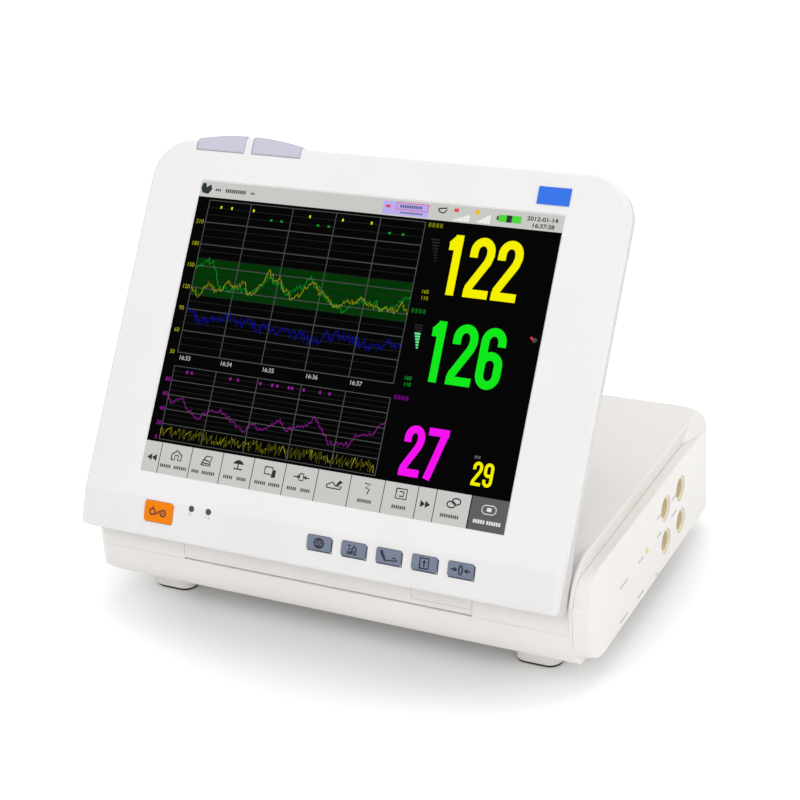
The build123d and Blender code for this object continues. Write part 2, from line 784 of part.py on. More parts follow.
def build_bezel():
    """The head's front case: face, side walls, lamp land, window and holes for the controls"""
    land = extrude(Plane.XY.offset(-bezel_depth) * land_face(0.0), bezel_depth)
    bezel = (head_prism(0.0, 0.0, bezel_depth) + land) & front_slab(0.0)
    rim = bezel.edges().filter_by(lambda edge: edge.center().Z > -front_depth(edge.center().Y) - edge_band
                                  and (abs(edge.center().X) > head_width / 2 - edge_band
                                       or edge.center().Y > head_high - head_top_radius / 2 - edge_band
                                       or edge.center().Y < head_low + head_low_radius / 2))
    bezel = fillet(rim, head_front_radius)
    bezel -= head_prism(head_side_wall, head_wall, bezel_depth + overrun) & front_slab(head_wall)
    glass_x, glass_y = screen_width / 2 + glass_margin, screen_tall / 2 + glass_margin
    bezel -= block(-glass_x - seat_gap, glass_x + seat_gap, -glass_y - seat_gap, glass_y + seat_gap,
                   -head_back_depth, -glass_recess)
    bezel -= block(-screen_width / 2, screen_width / 2, -screen_tall / 2, screen_tall / 2, -overrun, overrun)
    window = bezel.edges().filter_by(lambda edge: abs(edge.center().Z) < face_match
                                     and abs(edge.center().X) < screen_width / 2 + face_match
                                     and abs(edge.center().Y) < screen_tall / 2 + face_match)
    bezel = chamfer(window, window_chamfer)
    for x in key_columns():
        bezel -= strip_place * cap(x, control_drop, key_width + 2 * slide_gap, key_tall + 2 * slide_gap,
                                   key_radius + slide_gap, -2 * head_wall, overrun)
    bezel -= strip_place * cap(power_x, power_drop, power_width + 2 * slide_gap, power_tall + 2 * slide_gap,
                               power_radius + slide_gap, -2 * head_wall, overrun)
    for x in indicator_columns:
        bezel -= strip_place * rod_z(indicator_radius + seat_gap, -2 * head_wall, overrun, x, -indicator_drop)
    for x, y in head_screw_places():
        bezel += rod_z(screw_boss_radius, -bezel_depth, -head_wall / 2, x, y)
        bezel -= rod_z(screw_radius, -bezel_depth - overrun, -head_wall, x, y)
    for x0, x1 in lamp_spans(lamp_seat):
        notch = block(x0, x1, lamp_low - lamp_seat, head_high + 4 * land_rise, -bezel_depth - overrun, overrun)
        bezel -= notch
    parts["head_front_bezel"] = bezel


def lamp_spans(grow):
    """Left and right ends of the two lamps"""
    middle = (land_left + land_right) / 2
    return ((land_left + lamp_end_wall - grow, middle - lamp_gap / 2 + grow),
            (middle + lamp_gap / 2 - grow, land_right - lamp_end_wall + grow))


def build_lamps():
    """Two lenses that wrap over the head's top edge, and the small board behind them"""
    for name, (x0, x1) in zip(("alarm_lamp_left", "alarm_lamp_right"), lamp_spans(0.0)):
        span = block(x0, x1, lamp_low, head_high + 4 * land_rise, -bezel_depth, lamp_stand)
        lens = span & extrude(Plane.XY.offset(-bezel_depth) * land_face(-lamp_stand), bezel_depth + lamp_stand)
        front_edges = lens.edges().filter_by(lambda edge: edge.center().Z > lamp_stand - face_match)
        lens = fillet(front_edges, lamp_radius)
        parts[name] = lens
    board_low = lamp_low - lamp_board_tall - lamp_board_gap
    parts["alarm_lamp_board"] = block(land_left + lamp_end_wall, land_right - lamp_end_wall, board_low,
                                      lamp_low - lamp_board_gap, -bezel_depth + board, -bezel_depth + 2 * board)


def key_columns():
    """Middles of the five front keys"""
    return [key_first + index * key_pitch for index in range(key_count)]


def cap(x, drop, width, tall, radius, low, high):
    """A rounded rectangular prism on the control strip"""
    outline = Pos(x, -drop) * RectangleRounded(width, tall, radius)
    return extrude(Plane.XY.offset(low) * outline, high - low)


def button(x, drop, width, tall, radius, stand):
    """A push button: its cap, the flange behind the case wall and the stem over its switch"""
    flange_top = -head_wall - running_gap
    shape = cap(x, drop, width, tall, radius, flange_top - key_flange_thickness / 2, stand)
    crown = shape.faces().sort_by(Axis.Z)[-1].edges()
    shape = fillet(crown, stand / 2)
    shape += cap(x, drop, width + 2 * key_flange, tall + key_flange, radius,
                 flange_top - key_flange_thickness, flange_top)
    stem_low = flange_top - key_flange_thickness - key_stem
    shape += rod_z(switch_side / 3, stem_low, flange_top, x, -drop)
    return strip_place * shape


def switch_top():
    """Top of the tactile switches, below the stems of the buttons at full travel"""
    return -head_wall - running_gap - key_flange_thickness - key_stem - key_travel - seat_gap


def build_controls():
    """Power button, five keys, two indicator lenses and the board with their switches"""
    parts["power_button"] = button(power_x, power_drop, power_width, power_tall, power_radius, power_stand)
    for index, x in enumerate(key_columns(), 1):
        parts[f"front_key_{index}"] = button(x, control_drop, key_width, key_tall, key_radius, key_stand)
    lenses = []
    for x in indicator_columns:
        lens = rod_z(indicator_radius, -head_wall - key_flange_thickness, indicator_stand, x, -indicator_drop)
        lens += rod_z(indicator_radius + indicator_flange, -head_wall - key_flange_thickness,
                      -head_wall - seat_gap, x, -indicator_drop)
        lenses.append(strip_place * lens)
    parts["indicator_lenses"] = together(lenses)
    top = switch_top()
    low = top - switch_side / 4 - key_board_thickness
    left = power_x - power_width / 2 - key_flange
    right = key_columns()[-1] + key_width / 2 + key_flange
    control_board = block(left, right, -control_drop - key_board_tall / 2, -control_drop + key_board_tall / 2,
                          low, low + key_board_thickness)
    for x in [power_x, *key_columns()]:
        control_board += block(x - switch_side / 2, x + switch_side / 2, -control_drop - switch_side / 2,
                               -control_drop + switch_side / 2, low, top)
    parts["control_board"] = strip_place * control_board


def hump(inset, far):
    """The raised middle of the head's back cover, tapered all round"""
    spread = (head_back_depth - head_side_depth) * tan(radians(hump_slope))
    half = head_width / 2 - hump_inset - inset
    low, high = hump_low + inset, head_high - hump_inset - inset
    near = rounded(-half, half, low, high, hump_low_radius, hump_low_radius, hump_top_radius, hump_top_radius)
    tip = rounded(-half + spread, half - spread, low + spread, high - spread, hump_low_radius, hump_low_radius,
                  hump_top_radius, hump_top_radius)
    depth = head_side_depth - inset
    return loft([Plane.XY.offset(-depth) * near, Plane.XY.offset(-far) * tip], ruled=True)


def chin_spans():
    """The two ends of the head's lower edge, either side of the printer door's swing"""
    return (-head_width / 2, door_left - chin_gap), (door_right + chin_gap, head_width / 2)


def chin(x0, x1, inset):
    """One end of the back cover's lower edge, deeper than the head's side walls"""
    near = bezel_depth + seat_gap - (overrun if inset > 0 else 0.0)
    start, middle = crease + chin_start, crease - chin_middle
    low = head_low + inset
    outline = Polyline((start, -head_side_depth + inset), (middle, -chin_depth + inset), (low, -chin_foot_depth + inset),
                       (low, -near), (start, -near), close=True)
    return extrude(Plane.YZ.offset(x0 + inset) * make_face(outline), x1 - x0 - 2 * inset)


def ear_form(x0, x1, radius):
    """A hinge ear between the back cover and the hinge axis, in the head's frame"""
    drum = rod_x(radius, x0, x1, hinge_drop, -head_back_depth)
    web = block(x0, x1, hinge_drop - radius, hinge_drop + radius, -head_back_depth, -head_side_depth + cover_wall / 2)
    return drum + web


def build_back_cover():
    """The head's back cover: side walls, raised middle, chin, hinge ears and screw wells"""
    near = bezel_depth + seat_gap
    solid = head_prism(0.0, near, head_side_depth) + hump(0.0, head_back_depth)
    for x0, x1 in chin_spans():
        solid += chin(x0, x1, 0.0) & head_prism(0.0, near, head_back_depth)
    cover = solid - head_prism(head_side_wall, near - overrun, head_side_depth - cover_wall)
    cover -= hump(cover_wall, head_back_depth - cover_wall)
    for x0, x1 in chin_spans():
        cover -= chin(x0, x1, cover_wall)
    for x in hinge_places:
        for side in (-1, 1):
            ear_near = x + side * (knuckle_width / 2 + ear_gap)
            ear_far = ear_near + side * ear_width
            cover += ear_form(min(ear_near, ear_far), max(ear_near, ear_far), knuckle_radius)
        cover -= rod_x(hinge_pin_radius, x - knuckle_width - ear_width, x + knuckle_width + ear_width,
                       hinge_drop, -head_back_depth)
    for x, y in head_screw_places():
        cover += rod_z(head_well_radius + cover_wall / 2, -head_back_depth, -near, x, y) & solid
        cover -= rod_z(head_well_radius, -head_back_depth - overrun, -head_screw_seat, x, y)
        cover -= rod_z(screw_radius + slide_gap, -head_screw_seat - overrun, overrun, x, y)
    parts["head_back_cover"] = cover


def head_screw_places():
    """Screws through the back cover into the front case"""
    return [(x, y) for x in (-head_screw_x, head_screw_x) for y in (-head_screw_y, head_screw_y)]


def build_display():
    """Touch glass, display panel and the board behind it"""
    half_x, half_y = screen_width / 2 + glass_margin, screen_tall / 2 + glass_margin
    parts["screen_glass"] = block(-half_x, half_x, -half_y, half_y, -head_wall, -glass_recess)
    panel_x, panel_y = screen_width / 2 + panel_margin_x, screen_tall / 2 + panel_margin_y
    back = head_wall + panel_thickness
    parts["display_panel"] = block(-panel_x, panel_x, -panel_y, panel_y, -back, -head_wall)
    half_w, half_t = screen_width / 2 - head_board_margin, screen_tall / 2 - head_board_margin
    near = back + head_board_gap
    display_board = block(-half_w, half_w, -half_t, half_t, -near - board, -near)
    for sx in (-1, 1):
        for sy in (-1, 1):
            x, y = sx * (half_w - 2 * pillar_radius), sy * (half_t - 2 * pillar_radius)
            display_board += rod_z(pillar_radius, -near, -back, x, y)
    parts["display_board"] = display_board


def build_hinge():
    """Hinge pins that turn with the head, and the knuckles that stand on the base"""
    for name, x in zip(("left", "right"), hinge_places):
        half = knuckle_width / 2 + ear_gap + ear_width
        pin = rod_x(hinge_pin_radius, x - half, x + half, hinge_drop, -head_back_depth)
        parts[f"hinge_pin_{name}"] = head_place * pin
        x0, x1 = x - knuckle_width / 2, x + knuckle_width / 2
        knuckle = rod_x(knuckle_radius, x0, x1, hinge_y, hinge_z)
        knuckle += knuckle_foot(x, 0.0)
        knuckle -= rod_x(hinge_pin_radius + running_gap, x0 - overrun, x1 + overrun, hinge_y, hinge_z)
        parts[f"hinge_knuckle_{name}"] = knuckle


def knuckle_foot(x, grow):
    """The foot that stands in a seat in the pocket's floor"""
    half_x, half_y = knuckle_width / 2 + grow, bracket_web / 2 + grow
    low = hinge_z - knuckle_radius - pocket_gap - bracket_foot
    return block(x - half_x, x + half_x, hinge_y - half_y, hinge_y + half_y, low, hinge_z)


def shell_strip(inset0, inset1):
    """A skin of the base between two insets"""
    return base_block(inset0) - base_block(inset1)


def build_door():
    """The printer door and the release key set flush in it"""
    skin = shell_strip(0.0, door_wall)
    span = block(door_left, door_right, base_front - overrun, base_front + front_top_radius,
                 parting + door_gap, door_top)
    door = skin & span
    lower_edge = block(door_left, door_right, base_front - overrun, base_front + front_top_radius,
                       parting, door_hinge_z)
    door -= lower_edge
    door += rod_x(door_hinge_radius, door_left, door_right, door_hinge_y, door_hinge_z)
    pocket = (shell_strip(-overrun, release_thickness + release_travel + seat_gap)
              & block(release_left - door_gap, door_right + overrun, base_front - overrun,
                      base_front + front_top_radius, release_low - door_gap, door_top + overrun))
    door -= pocket
    for x0, x1 in ((door_left - door_pin_length, door_left + overrun),
                   (door_right - overrun, door_right + door_pin_length)):
        door += rod_x(door_pin_radius, x0, x1, door_hinge_y, door_hinge_z)
    parts["printer_door"] = door
    key = (shell_strip(0.0, release_thickness)
           & block(release_left, door_right, base_front - overrun, base_front + front_top_radius,
                   release_low, door_top))
    parts["door_release_key"] = key


def tray_sides():
    """Left and right faces of the paper tray's inside"""
    half = paper_width / 2 + tray_gap
    return chart_x - half, chart_x + half


def build_printer():
    """Paper tray, pack, platen roller, print head, side plates and drive"""
    left, right = tray_sides()
    front = base_front + tray_front_gap
    back = front + paper_depth + 2 * tray_gap
    tray = block(left - tray_wall, right + tray_wall, front, back + tray_wall, tray_floor - tray_wall,
                 tray_floor + paper_height)
    tray -= block(left, right, front - overrun, back, tray_floor, tray_floor + 2 * paper_height)
    for x0, x1 in ((left - tray_wall - sheet, left - tray_wall), (right + tray_wall, right + tray_wall + sheet)):
        plate = block(x0, x1, front, front + paper_depth / 2, tray_floor - tray_wall, roller_z + bearing_radius + wall)
        plate &= base_block(wall + slide_gap)
        plate -= rod_x(bearing_radius, x0 - overrun, x1 + overrun, roller_y, roller_z)
        tray += plate
    parts["printer_tray"] = tray
    parts["paper_pack"] = block(chart_x - paper_width / 2, chart_x + paper_width / 2, front + tray_gap,
                                front + tray_gap + paper_depth, tray_floor, tray_floor + paper_height)
    plates = (left - tray_wall - sheet, right + tray_wall + sheet)
    bearings = []
    for x0, x1 in ((plates[0], plates[0] + bearing_width), (plates[1] - bearing_width, plates[1])):
        ring = rod_x(bearing_radius, x0, x1, roller_y, roller_z)
        ring -= rod_x(roller_shaft_radius + running_gap, x0 - overrun, x1 + overrun, roller_y, roller_z)
        bearings.append(ring)
    parts["roller_bearings"] = together(bearings)
    shaft = rod_x(roller_shaft_radius, plates[0] - shaft_end - roller_grip, plates[1] + roller_grip,
                  roller_y, roller_z)
    parts["platen_shaft"] = shaft
    sleeve = rod_x(roller_radius, left + bearing_width, right - bearing_width, roller_y, roller_z)
    sleeve -= rod_x(roller_shaft_radius, left, right, roller_y, roller_z)
    parts["platen_roller"] = sleeve
    build_print_head(left, right)


def build_print_head(left, right):
    """The thermal head behind the roller, on a finned heat sink"""
    near = roller_y + roller_radius + seat_gap
    low = roller_z - print_head_tall / 2
    head = block(left + bearing_width, right - bearing_width, near, near + print_head_depth, low,
                 low + print_head_tall)
    fin_depth = print_head_depth / 2
    step = print_head_tall / heat_sink_fins
    for index in range(heat_sink_fins):
        z = low + index * step
        head += block(left + 2 * bearing_width, right - 2 * bearing_width, near + print_head_depth,
                      near + print_head_depth + fin_depth, z, z + step / 2)
    parts["print_head"] = head


def build_inside():
    """Battery with its cover, main board, power supply and loudspeaker"""
    low = floor_gap + cover_thickness + seat_gap
    parts["battery_pack"] = battery_zone(0.0, low, low + battery_height)
    cover = battery_zone(battery_gap + cover_lip - seat_gap, floor_gap, floor_gap + cover_thickness)
    for side in (-1, 1):
        place = (side * (battery_width / 2 + battery_gap + cover_lip / 2), battery_y)
        cover -= rod_z(screw_radius + seat_gap, floor_gap - overrun, floor_gap + overrun, *place)
    parts["battery_cover"] = cover
    top = floor_gap + main_board_height
    parts["main_board"] = block(main_board_left, main_board_right, main_board_front, main_board_rear, top, top + board)
    supply = block(supply_x - supply_width / 2, supply_x + supply_width / 2, main_board_front, main_board_rear,
                   top, top + board)
    block_front = main_board_front + supply_front_gap
    block_rear = block_front + supply_block_share * (main_board_rear - main_board_front)
    supply += block(supply_x - supply_width / 4, supply_x + supply_width / 4, block_front, block_rear, top + board,
                    top + supply_height)
    parts["power_supply"] = supply
    cone_x = base_left + wall
    speaker = rod_x(speaker_radius, cone_x, cone_x + speaker_frame, speaker_y, speaker_z)
    speaker += rod_x(speaker_magnet_radius, cone_x, cone_x + speaker_depth, speaker_y, speaker_z)
    parts["loudspeaker"] = speaker


def build_rear():
    """Mains inlet, earth stud and network socket in the rear wall"""
    outline = rounded(inlet_x - inlet_width / 2, inlet_x + inlet_width / 2, inlet_z - inlet_tall / 2,
                      inlet_z + inlet_tall / 2, inlet_radius, inlet_radius, inlet_tall / 4, inlet_tall / 4)
    cavity = rounded(inlet_x - inlet_width / 2 + inlet_wall, inlet_x + inlet_width / 2 - inlet_wall,
                     inlet_z - inlet_tall / 2 + inlet_wall, inlet_z + inlet_tall / 2 - inlet_wall,
                     inlet_radius / 2, inlet_radius / 2, inlet_tall / 5, inlet_tall / 5)
    back = base_rear + inlet_flange
    inlet = extrude(Plane.XZ.offset(-back) * outline, inlet_flange + inlet_depth)
    flange = rounded(inlet_x - inlet_flange_width / 2, inlet_x + inlet_flange_width / 2,
                     inlet_z - inlet_flange_tall / 2, inlet_z + inlet_flange_tall / 2,
                     inlet_radius, inlet_radius, inlet_radius, inlet_radius)
    inlet += extrude(Plane.XZ.offset(-back) * flange, inlet_flange)
    inlet -= extrude(Plane.XZ.offset(-back - overrun) * cavity, overrun + inlet_depth)
    for index in (-1, 0, 1):
        x = inlet_x + index * blade_pitch
        z = inlet_z - blade_width * abs(index)
        inlet += block(x - blade_width / 2, x + blade_width / 2, back - inlet_depth - inlet_wall / 2,
                       back - inlet_wall, z - blade_tall / 2, z + blade_tall / 2)
    for side in (-1, 1):
        inlet -= rod_y(screw_radius + slide_gap, base_rear - overrun, back + overrun,
                       inlet_x + side * inlet_screw_pitch / 2, inlet_z)
    parts["mains_inlet"] = inlet
    stud = rod_y(earth_collar_radius, base_rear, base_rear + earth_collar, earth_x, inlet_z)
    stud += rod_y(earth_radius, base_rear - 2 * wall, base_rear + earth_collar + earth_length, earth_x, inlet_z)
    parts["earth_stud"] = stud
    half_w, half_t = network_width / 2, network_tall / 2
    port = block(network_x - half_w - network_wall, network_x + half_w + network_wall,
                 base_rear - network_depth, base_rear, inlet_z - half_t - network_wall,
                 inlet_z + half_t + network_wall)
    port -= block(network_x - half_w, network_x + half_w, base_rear - network_depth + network_wall,
                  base_rear + overrun, inlet_z - half_t, inlet_z + half_t)
    parts["network_socket"] = port


def screw(length):
    """A pan-head screw along Z with its head at the origin's side"""
    shank = rod_z(screw_radius, 0, length, 0, 0)
    pan = rod_z(screw_head_radius, -screw_head, 0, 0, 0)
    slot = block(-screw_head_radius, screw_head_radius, -screw_radius / 4, screw_radius / 4,
                 -screw_head - overrun, -screw_head + screw_head / 3)
    return shank + pan - slot


def build_screws():
    """Screws of the base, the battery cover, the mains inlet and the head"""
    case = []
    for x, y in case_screw_places():
        case.append(Pos(x, y, case_screw_seat) * screw(case_screw_length))
    parts["case_screws"] = together(case)
    cover = []
    for side in (-1, 1):
        x = side * (battery_width / 2 + battery_gap + cover_lip / 2)
        cover.append(Pos(x, battery_y, floor_gap) * screw(screw_length - screw_head))
    parts["battery_cover_screws"] = together(cover)
    inlet = []
    for side in (-1, 1):
        place = Location((inlet_x + side * inlet_screw_pitch / 2, base_rear + inlet_flange, inlet_z), (90, 0, 0))
        inlet.append(place * screw(screw_length))
    parts["inlet_screws"] = together(inlet)
    back = []
    for x, y in head_screw_places():
        back.append(Pos(x, y, -head_screw_seat) * screw(head_screw_seat - head_wall - seat_gap))
    parts["head_screws"] = together(back)


def place_head():
    """Move the pieces drawn in the head's frame to the tilt of the part at rest"""
    names = ["head_front_bezel", "head_back_cover", "screen_glass", "display_panel", "display_board",
             "alarm_lamp_left", "alarm_lamp_right", "alarm_lamp_board", "power_button", "indicator_lenses",
             "control_board", "head_screws"]
    names += [f"front_key_{index}" for index in range(1, key_count + 1)]
    for name in names:
        parts[name] = head_place * parts[name]


build_housings()
build_module()
build_feet()
build_bezel()
build_lamps()
build_controls()
build_back_cover()
build_display()
build_hinge()
build_door()
build_printer()
build_inside()
build_rear_panel()
build_rear()
build_screws()
place_head()

# The origin: the middle of the whole part's footprint, on the floor
boxes = [shape.bounding_box() for shape in parts.values()]
shift_x = -(min(box.min.X for box in boxes) + max(box.max.X for box in boxes)) / 2
shift_y = -(min(box.min.Y for box in boxes) + max(box.max.Y for box in boxes)) / 2
to_origin = Pos(shift_x, shift_y, 0)
print("shift to the origin", round(shift_x, 4), round(shift_y, 4))
print("hinge axis", round(hinge_y + shift_y, 4), round(hinge_z, 4))
print("door axis", round(door_hinge_y + shift_y, 4), round(door_hinge_z, 4))
print("the head tilts", round(tilt_min, 2), "to", round(tilt_max, 2), "degrees; the door opens", door_open)
print("roller axis", round(roller_y + shift_y, 4), round(roller_z, 4))

os.makedirs("parts", exist_ok=True)
for name, shape in parts.items():
    export_step(to_origin * shape, f"parts/{name}.step")
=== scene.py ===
"""Looks of a cardiotocograph: white mouldings, a lit touch display, keys, lamps and round probe sockets.

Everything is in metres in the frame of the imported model. The flat artwork of the display is drawn in
millimetres from the middle of the screen, across and up, and then laid on the tilted glass. Its layout is
given in picture pixels, six to the millimetre, across and down from the screen's top left corner.
"""
import json
import math
import random

import bmesh
import bpy
from mathutils import Euler, Matrix, Vector


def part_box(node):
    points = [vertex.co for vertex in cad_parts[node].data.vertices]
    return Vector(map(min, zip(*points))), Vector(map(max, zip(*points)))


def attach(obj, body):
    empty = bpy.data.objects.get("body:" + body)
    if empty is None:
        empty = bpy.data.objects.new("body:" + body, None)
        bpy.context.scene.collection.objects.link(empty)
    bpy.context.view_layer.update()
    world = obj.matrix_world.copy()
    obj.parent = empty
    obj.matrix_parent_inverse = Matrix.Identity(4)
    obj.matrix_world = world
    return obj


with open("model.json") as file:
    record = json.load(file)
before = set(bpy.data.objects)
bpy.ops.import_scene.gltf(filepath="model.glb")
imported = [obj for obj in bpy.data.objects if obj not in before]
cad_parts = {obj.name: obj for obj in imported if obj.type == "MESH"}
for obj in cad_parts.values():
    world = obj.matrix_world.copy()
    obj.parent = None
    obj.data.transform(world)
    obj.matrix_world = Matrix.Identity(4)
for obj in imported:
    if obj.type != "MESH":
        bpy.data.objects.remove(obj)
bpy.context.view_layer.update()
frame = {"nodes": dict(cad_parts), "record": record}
nodes = frame["nodes"]

MM = 0.001

# The screen leans back from upright, and the strip with the keys slopes from the screen
TILT_BACK = math.radians(34.27)
STRIP_SLOPE = math.radians(11.0)

# Millimetres in the head's frame: the crease above the strip, and the glass under the bezel's face
CREASE = -109.2
GLASS_MIDDLE = 1.9
GLASS_FACE = -1.0

# Flat artwork lies this far off the surface that carries it, and its layers this far apart
ART_LIFT = 0.06
LAYER = 0.03
FIELD_LEVEL = GLASS_FACE + ART_LIFT
LINE_LEVEL = FIELD_LEVEL + LAYER
SIGN_LEVEL = FIELD_LEVEL + 2 * LAYER

# Height of a figure as a share of the type's size, and the steps of an arc
FIGURE_SHARE = 0.72
ARC_STEPS = 14


# The head's own frame: across, up along the screen, and out of its face

def middle(box):
    """Middle of a box given by its two corners."""
    return (Vector(box[0]) + Vector(box[1])) / 2


UP = Vector((0, math.sin(TILT_BACK), math.cos(TILT_BACK)))
OUT = Vector((0, -math.cos(TILT_BACK), math.sin(TILT_BACK)))
HEAD_ORIGIN = middle(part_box("screen_glass")) + OUT * GLASS_MIDDLE * MM
HEAD_FRAME = Matrix.Translation(HEAD_ORIGIN) @ Matrix((
    (1, 0, 0, 0), (0, UP.y, OUT.y, 0), (0, UP.z, OUT.z, 0), (0, 0, 0, 1))) @ Matrix.Scale(MM, 4)
STRIP_FRAME = HEAD_FRAME @ Matrix.Translation((0, CREASE, 0)) @ Matrix.Rotation(STRIP_SLOPE, 4, "X")


# Colours and nodes

def srgb(code):
    """An sRGB hex code as the linear colour that the shaders take."""
    channels = []
    for start in (0, 2, 4):
        value = int(code[start:start + 2], 16) / 255
        channels.append(value / 12.92 if value <= 0.04045 else ((value + 0.055) / 1.055) ** 2.4)
    return (*channels, 1.0)


def add_node(holder, kind, settings=None, **links):
    """A node with its sockets set, or linked where a value is another node's socket."""
    tree = holder.node_tree
    node = tree.nodes.new(kind)
    for name, value in (settings or {}).items():
        setattr(node, name, value)
    for name, value in links.items():
        key = int(name[1:]) if name[0] == "_" else name.replace("_", " ")
        socket = node.inputs[key]
        if isinstance(value, bpy.types.NodeSocket):
            tree.links.new(value, socket)
        else:
            socket.default_value = value
    return node


def shading(made):
    """The sockets of a material's Principled shader."""
    return made.node_tree.nodes["Principled BSDF"].inputs


def material(name, colour, roughness, metallic=0.0, coat=0.0, specular=0.5):
    """A Principled material with its plain values on its own sockets."""
    made = bpy.data.materials.new(name)
    made.use_nodes = True
    sockets = shading(made)
    sockets["Base Color"].default_value = srgb(colour)
    sockets["Roughness"].default_value = roughness
    sockets["Metallic"].default_value = metallic
    sockets["Coat Weight"].default_value = coat
    sockets["Specular IOR Level"].default_value = specular
    return made


def grain(made, size_mm, height_mm):
    """Bump from noise whose bumps are that many millimetres across."""
    place = add_node(made, "ShaderNodeTexCoord")
    noise = add_node(made, "ShaderNodeTexNoise", Vector=place.outputs["Object"], Scale=1.0 / (size_mm * MM),
                     Detail=3.0, Roughness=0.55)
    bump = add_node(made, "ShaderNodeBump", Height=noise.outputs["Fac"], Distance=height_mm * MM,
                    Strength=1.0)
    made.node_tree.links.new(bump.outputs["Normal"], shading(made)["Normal"])
    return made


def mottle(made, colour_a, colour_b, size_mm):
    """Colour that drifts slowly between two shades."""
    place = add_node(made, "ShaderNodeTexCoord")
    noise = add_node(made, "ShaderNodeTexNoise", Vector=place.outputs["Object"], Scale=1.0 / (size_mm * MM),
                     Detail=2.0, Roughness=0.5)
    ramp = add_node(made, "ShaderNodeValToRGB", Fac=noise.outputs["Fac"])
    for stop, position, colour in zip(ramp.color_ramp.elements, (0.35, 0.65), (colour_a, colour_b)):
        stop.position = position
        stop.color = srgb(colour)
    made.node_tree.links.new(ramp.outputs["Color"], shading(made)["Base Color"])
    return made


def scuffs(made, smooth, rough, size_mm):
    """Roughness that changes in faint patches, as on a surface that is handled."""
    place = add_node(made, "ShaderNodeTexCoord")
    noise = add_node(made, "ShaderNodeTexNoise", Vector=place.outputs["Object"], Scale=1.0 / (size_mm * MM),
                     Detail=4.0, Roughness=0.6)
    spread = add_node(made, "ShaderNodeMapRange", Value=noise.outputs["Fac"], To_Min=smooth, To_Max=rough)
    made.node_tree.links.new(spread.outputs["Result"], shading(made)["Roughness"])
    return made


def glow(name, colour):
    """A lit part of the display, which gives its own light."""
    made = material(name, "000000", 0.6, specular=0.0)
    shading(made)["Emission Color"].default_value = srgb(colour)
    shading(made)["Emission Strength"].default_value = 1.0
    return made


# The grain of the plastics, the rubber and the metals is drawn coarser than the real one, so that it shows

# ABS, injection moulded with a fine spark-eroded texture: soft highlights, a hair warmer in places
CASE_WHITE = scuffs(grain(mottle(material("abs_white_moulded", "F0EEEE", 0.4),
                                 "EFEDEC", "F1F0F0", 60.0), 0.5, 0.012), 0.34, 0.46, 25.0)
# ABS for the base: the same resin from another tool, a little creamier. Its white and mottle are set lighter
# than the head's white as painted light, standing in for fill light on the base's shaded front
BASE_WHITE_WITH_PAINTED_FILL = scuffs(grain(mottle(material("abs_cream_with_painted_fill", "F3F0ED", 0.42),
                                 "F2EFEB", "F5F2EF", 60.0), 0.5, 0.012), 0.36, 0.5, 25.0)
# The head's back: a grey-white of the same plastic
BACK_GREY = scuffs(grain(material("abs_grey_moulded", "DCDBDA", 0.45), 0.5, 0.014), 0.4, 0.52, 25.0)
# Chemically strengthened cover glass over a dark panel: near black, with hardly any reflection
COVER_GLASS = scuffs(material("cover_glass", "010101", 0.3, specular=0.01), 0.26, 0.36, 30.0)
# Frosted polycarbonate of the alarm lamps, lilac grey when unlit
LAMP_LENS = grain(material("polycarbonate_frosted", "C7C6D7", 0.3, coat=0.1), 0.8, 0.02)
shading(LAMP_LENS)["Subsurface Weight"].default_value = 0.25
shading(LAMP_LENS)["Subsurface Radius"].default_value = (0.004, 0.004, 0.005)
# Silicone rubber of the keys and the power button, with a smooth satin skin
KEY_SLATE = scuffs(grain(material("silicone_slate", "737C92", 0.5), 0.4, 0.01), 0.44, 0.58, 8.0)
KEY_ORANGE = scuffs(grain(material("silicone_orange", "FB8804", 0.45, specular=0.1), 0.4, 0.01),
                    0.38, 0.5, 8.0)
# Matt screen-printed ink on the keys, the strip and the side, and a slate used as painted shade beside the
# keys
INK_DARK = scuffs(material("printed_ink_dark", "141826", 0.6), 0.55, 0.65, 5.0)
INK_BROWN = scuffs(material("printed_ink_brown", "6B2A03", 0.6), 0.55, 0.65, 5.0)
# Painted shade, not ink: this slate darkens the strip along each key's lower and right edge
KEY_SHADE_SLATE = scuffs(material("painted_key_shade_slate", "4A4F60", 0.6), 0.55, 0.65, 5.0)
INK_GREY = scuffs(material("printed_ink_grey", "B9B7B3", 0.6), 0.55, 0.65, 5.0)
# Enamelled badge plate, smooth and a little glossy
BADGE_BLUE = scuffs(grain(material("enamel_blue", "2670E6", 0.35, specular=0.2), 0.6, 0.006),
                    0.26, 0.34, 10.0)
# Nylon of the sockets, moulded in warm ivory, with umber inserts: satin
SOCKET_IVORY = scuffs(grain(material("nylon_ivory", "EFE4C4", 0.38), 0.4, 0.01), 0.34, 0.44, 10.0)
CONTACT_DARK = scuffs(grain(material("nylon_umber", "8A7B5C", 0.5), 0.4, 0.01), 0.45, 0.55, 10.0)
# Acrylic indicator lenses, glossy: smoked ones, unlit and dark, and a yellow one
LENS_DARK = scuffs(material("acrylic_smoked", "33343A", 0.2, coat=0.5), 0.16, 0.24, 6.0)
LENS_YELLOW = scuffs(material("acrylic_yellow", "E5D24A", 0.25, coat=0.4), 0.2, 0.3, 6.0)
# Nitrile rubber of the feet and the printer's roller: black, with no shine
RUBBER = scuffs(grain(material("nitrile_rubber", "1B1B1C", 0.75), 0.6, 0.03), 0.7, 0.82, 12.0)
# Turned steel with a bright zinc plating, with faint patches of handling
STEEL = scuffs(grain(material("steel_zinc_plated", "B9BABC", 0.32, metallic=1.0), 0.25, 0.004),
               0.26, 0.4, 6.0)
# Epoxy glass board under green lacquer, a little uneven in colour
CIRCUIT = scuffs(grain(mottle(material("epoxy_board_green", "1B5A35", 0.4), "19522F", "1F643C", 9.0),
                       0.8, 0.02), 0.34, 0.46, 8.0)
# Black glass-filled nylon of the mains inlet, the loudspeaker, the battery and the panel: matt and grainy
BLACK_NYLON = scuffs(grain(material("nylon_black", "1A1A1C", 0.5), 0.5, 0.02), 0.44, 0.58, 12.0)
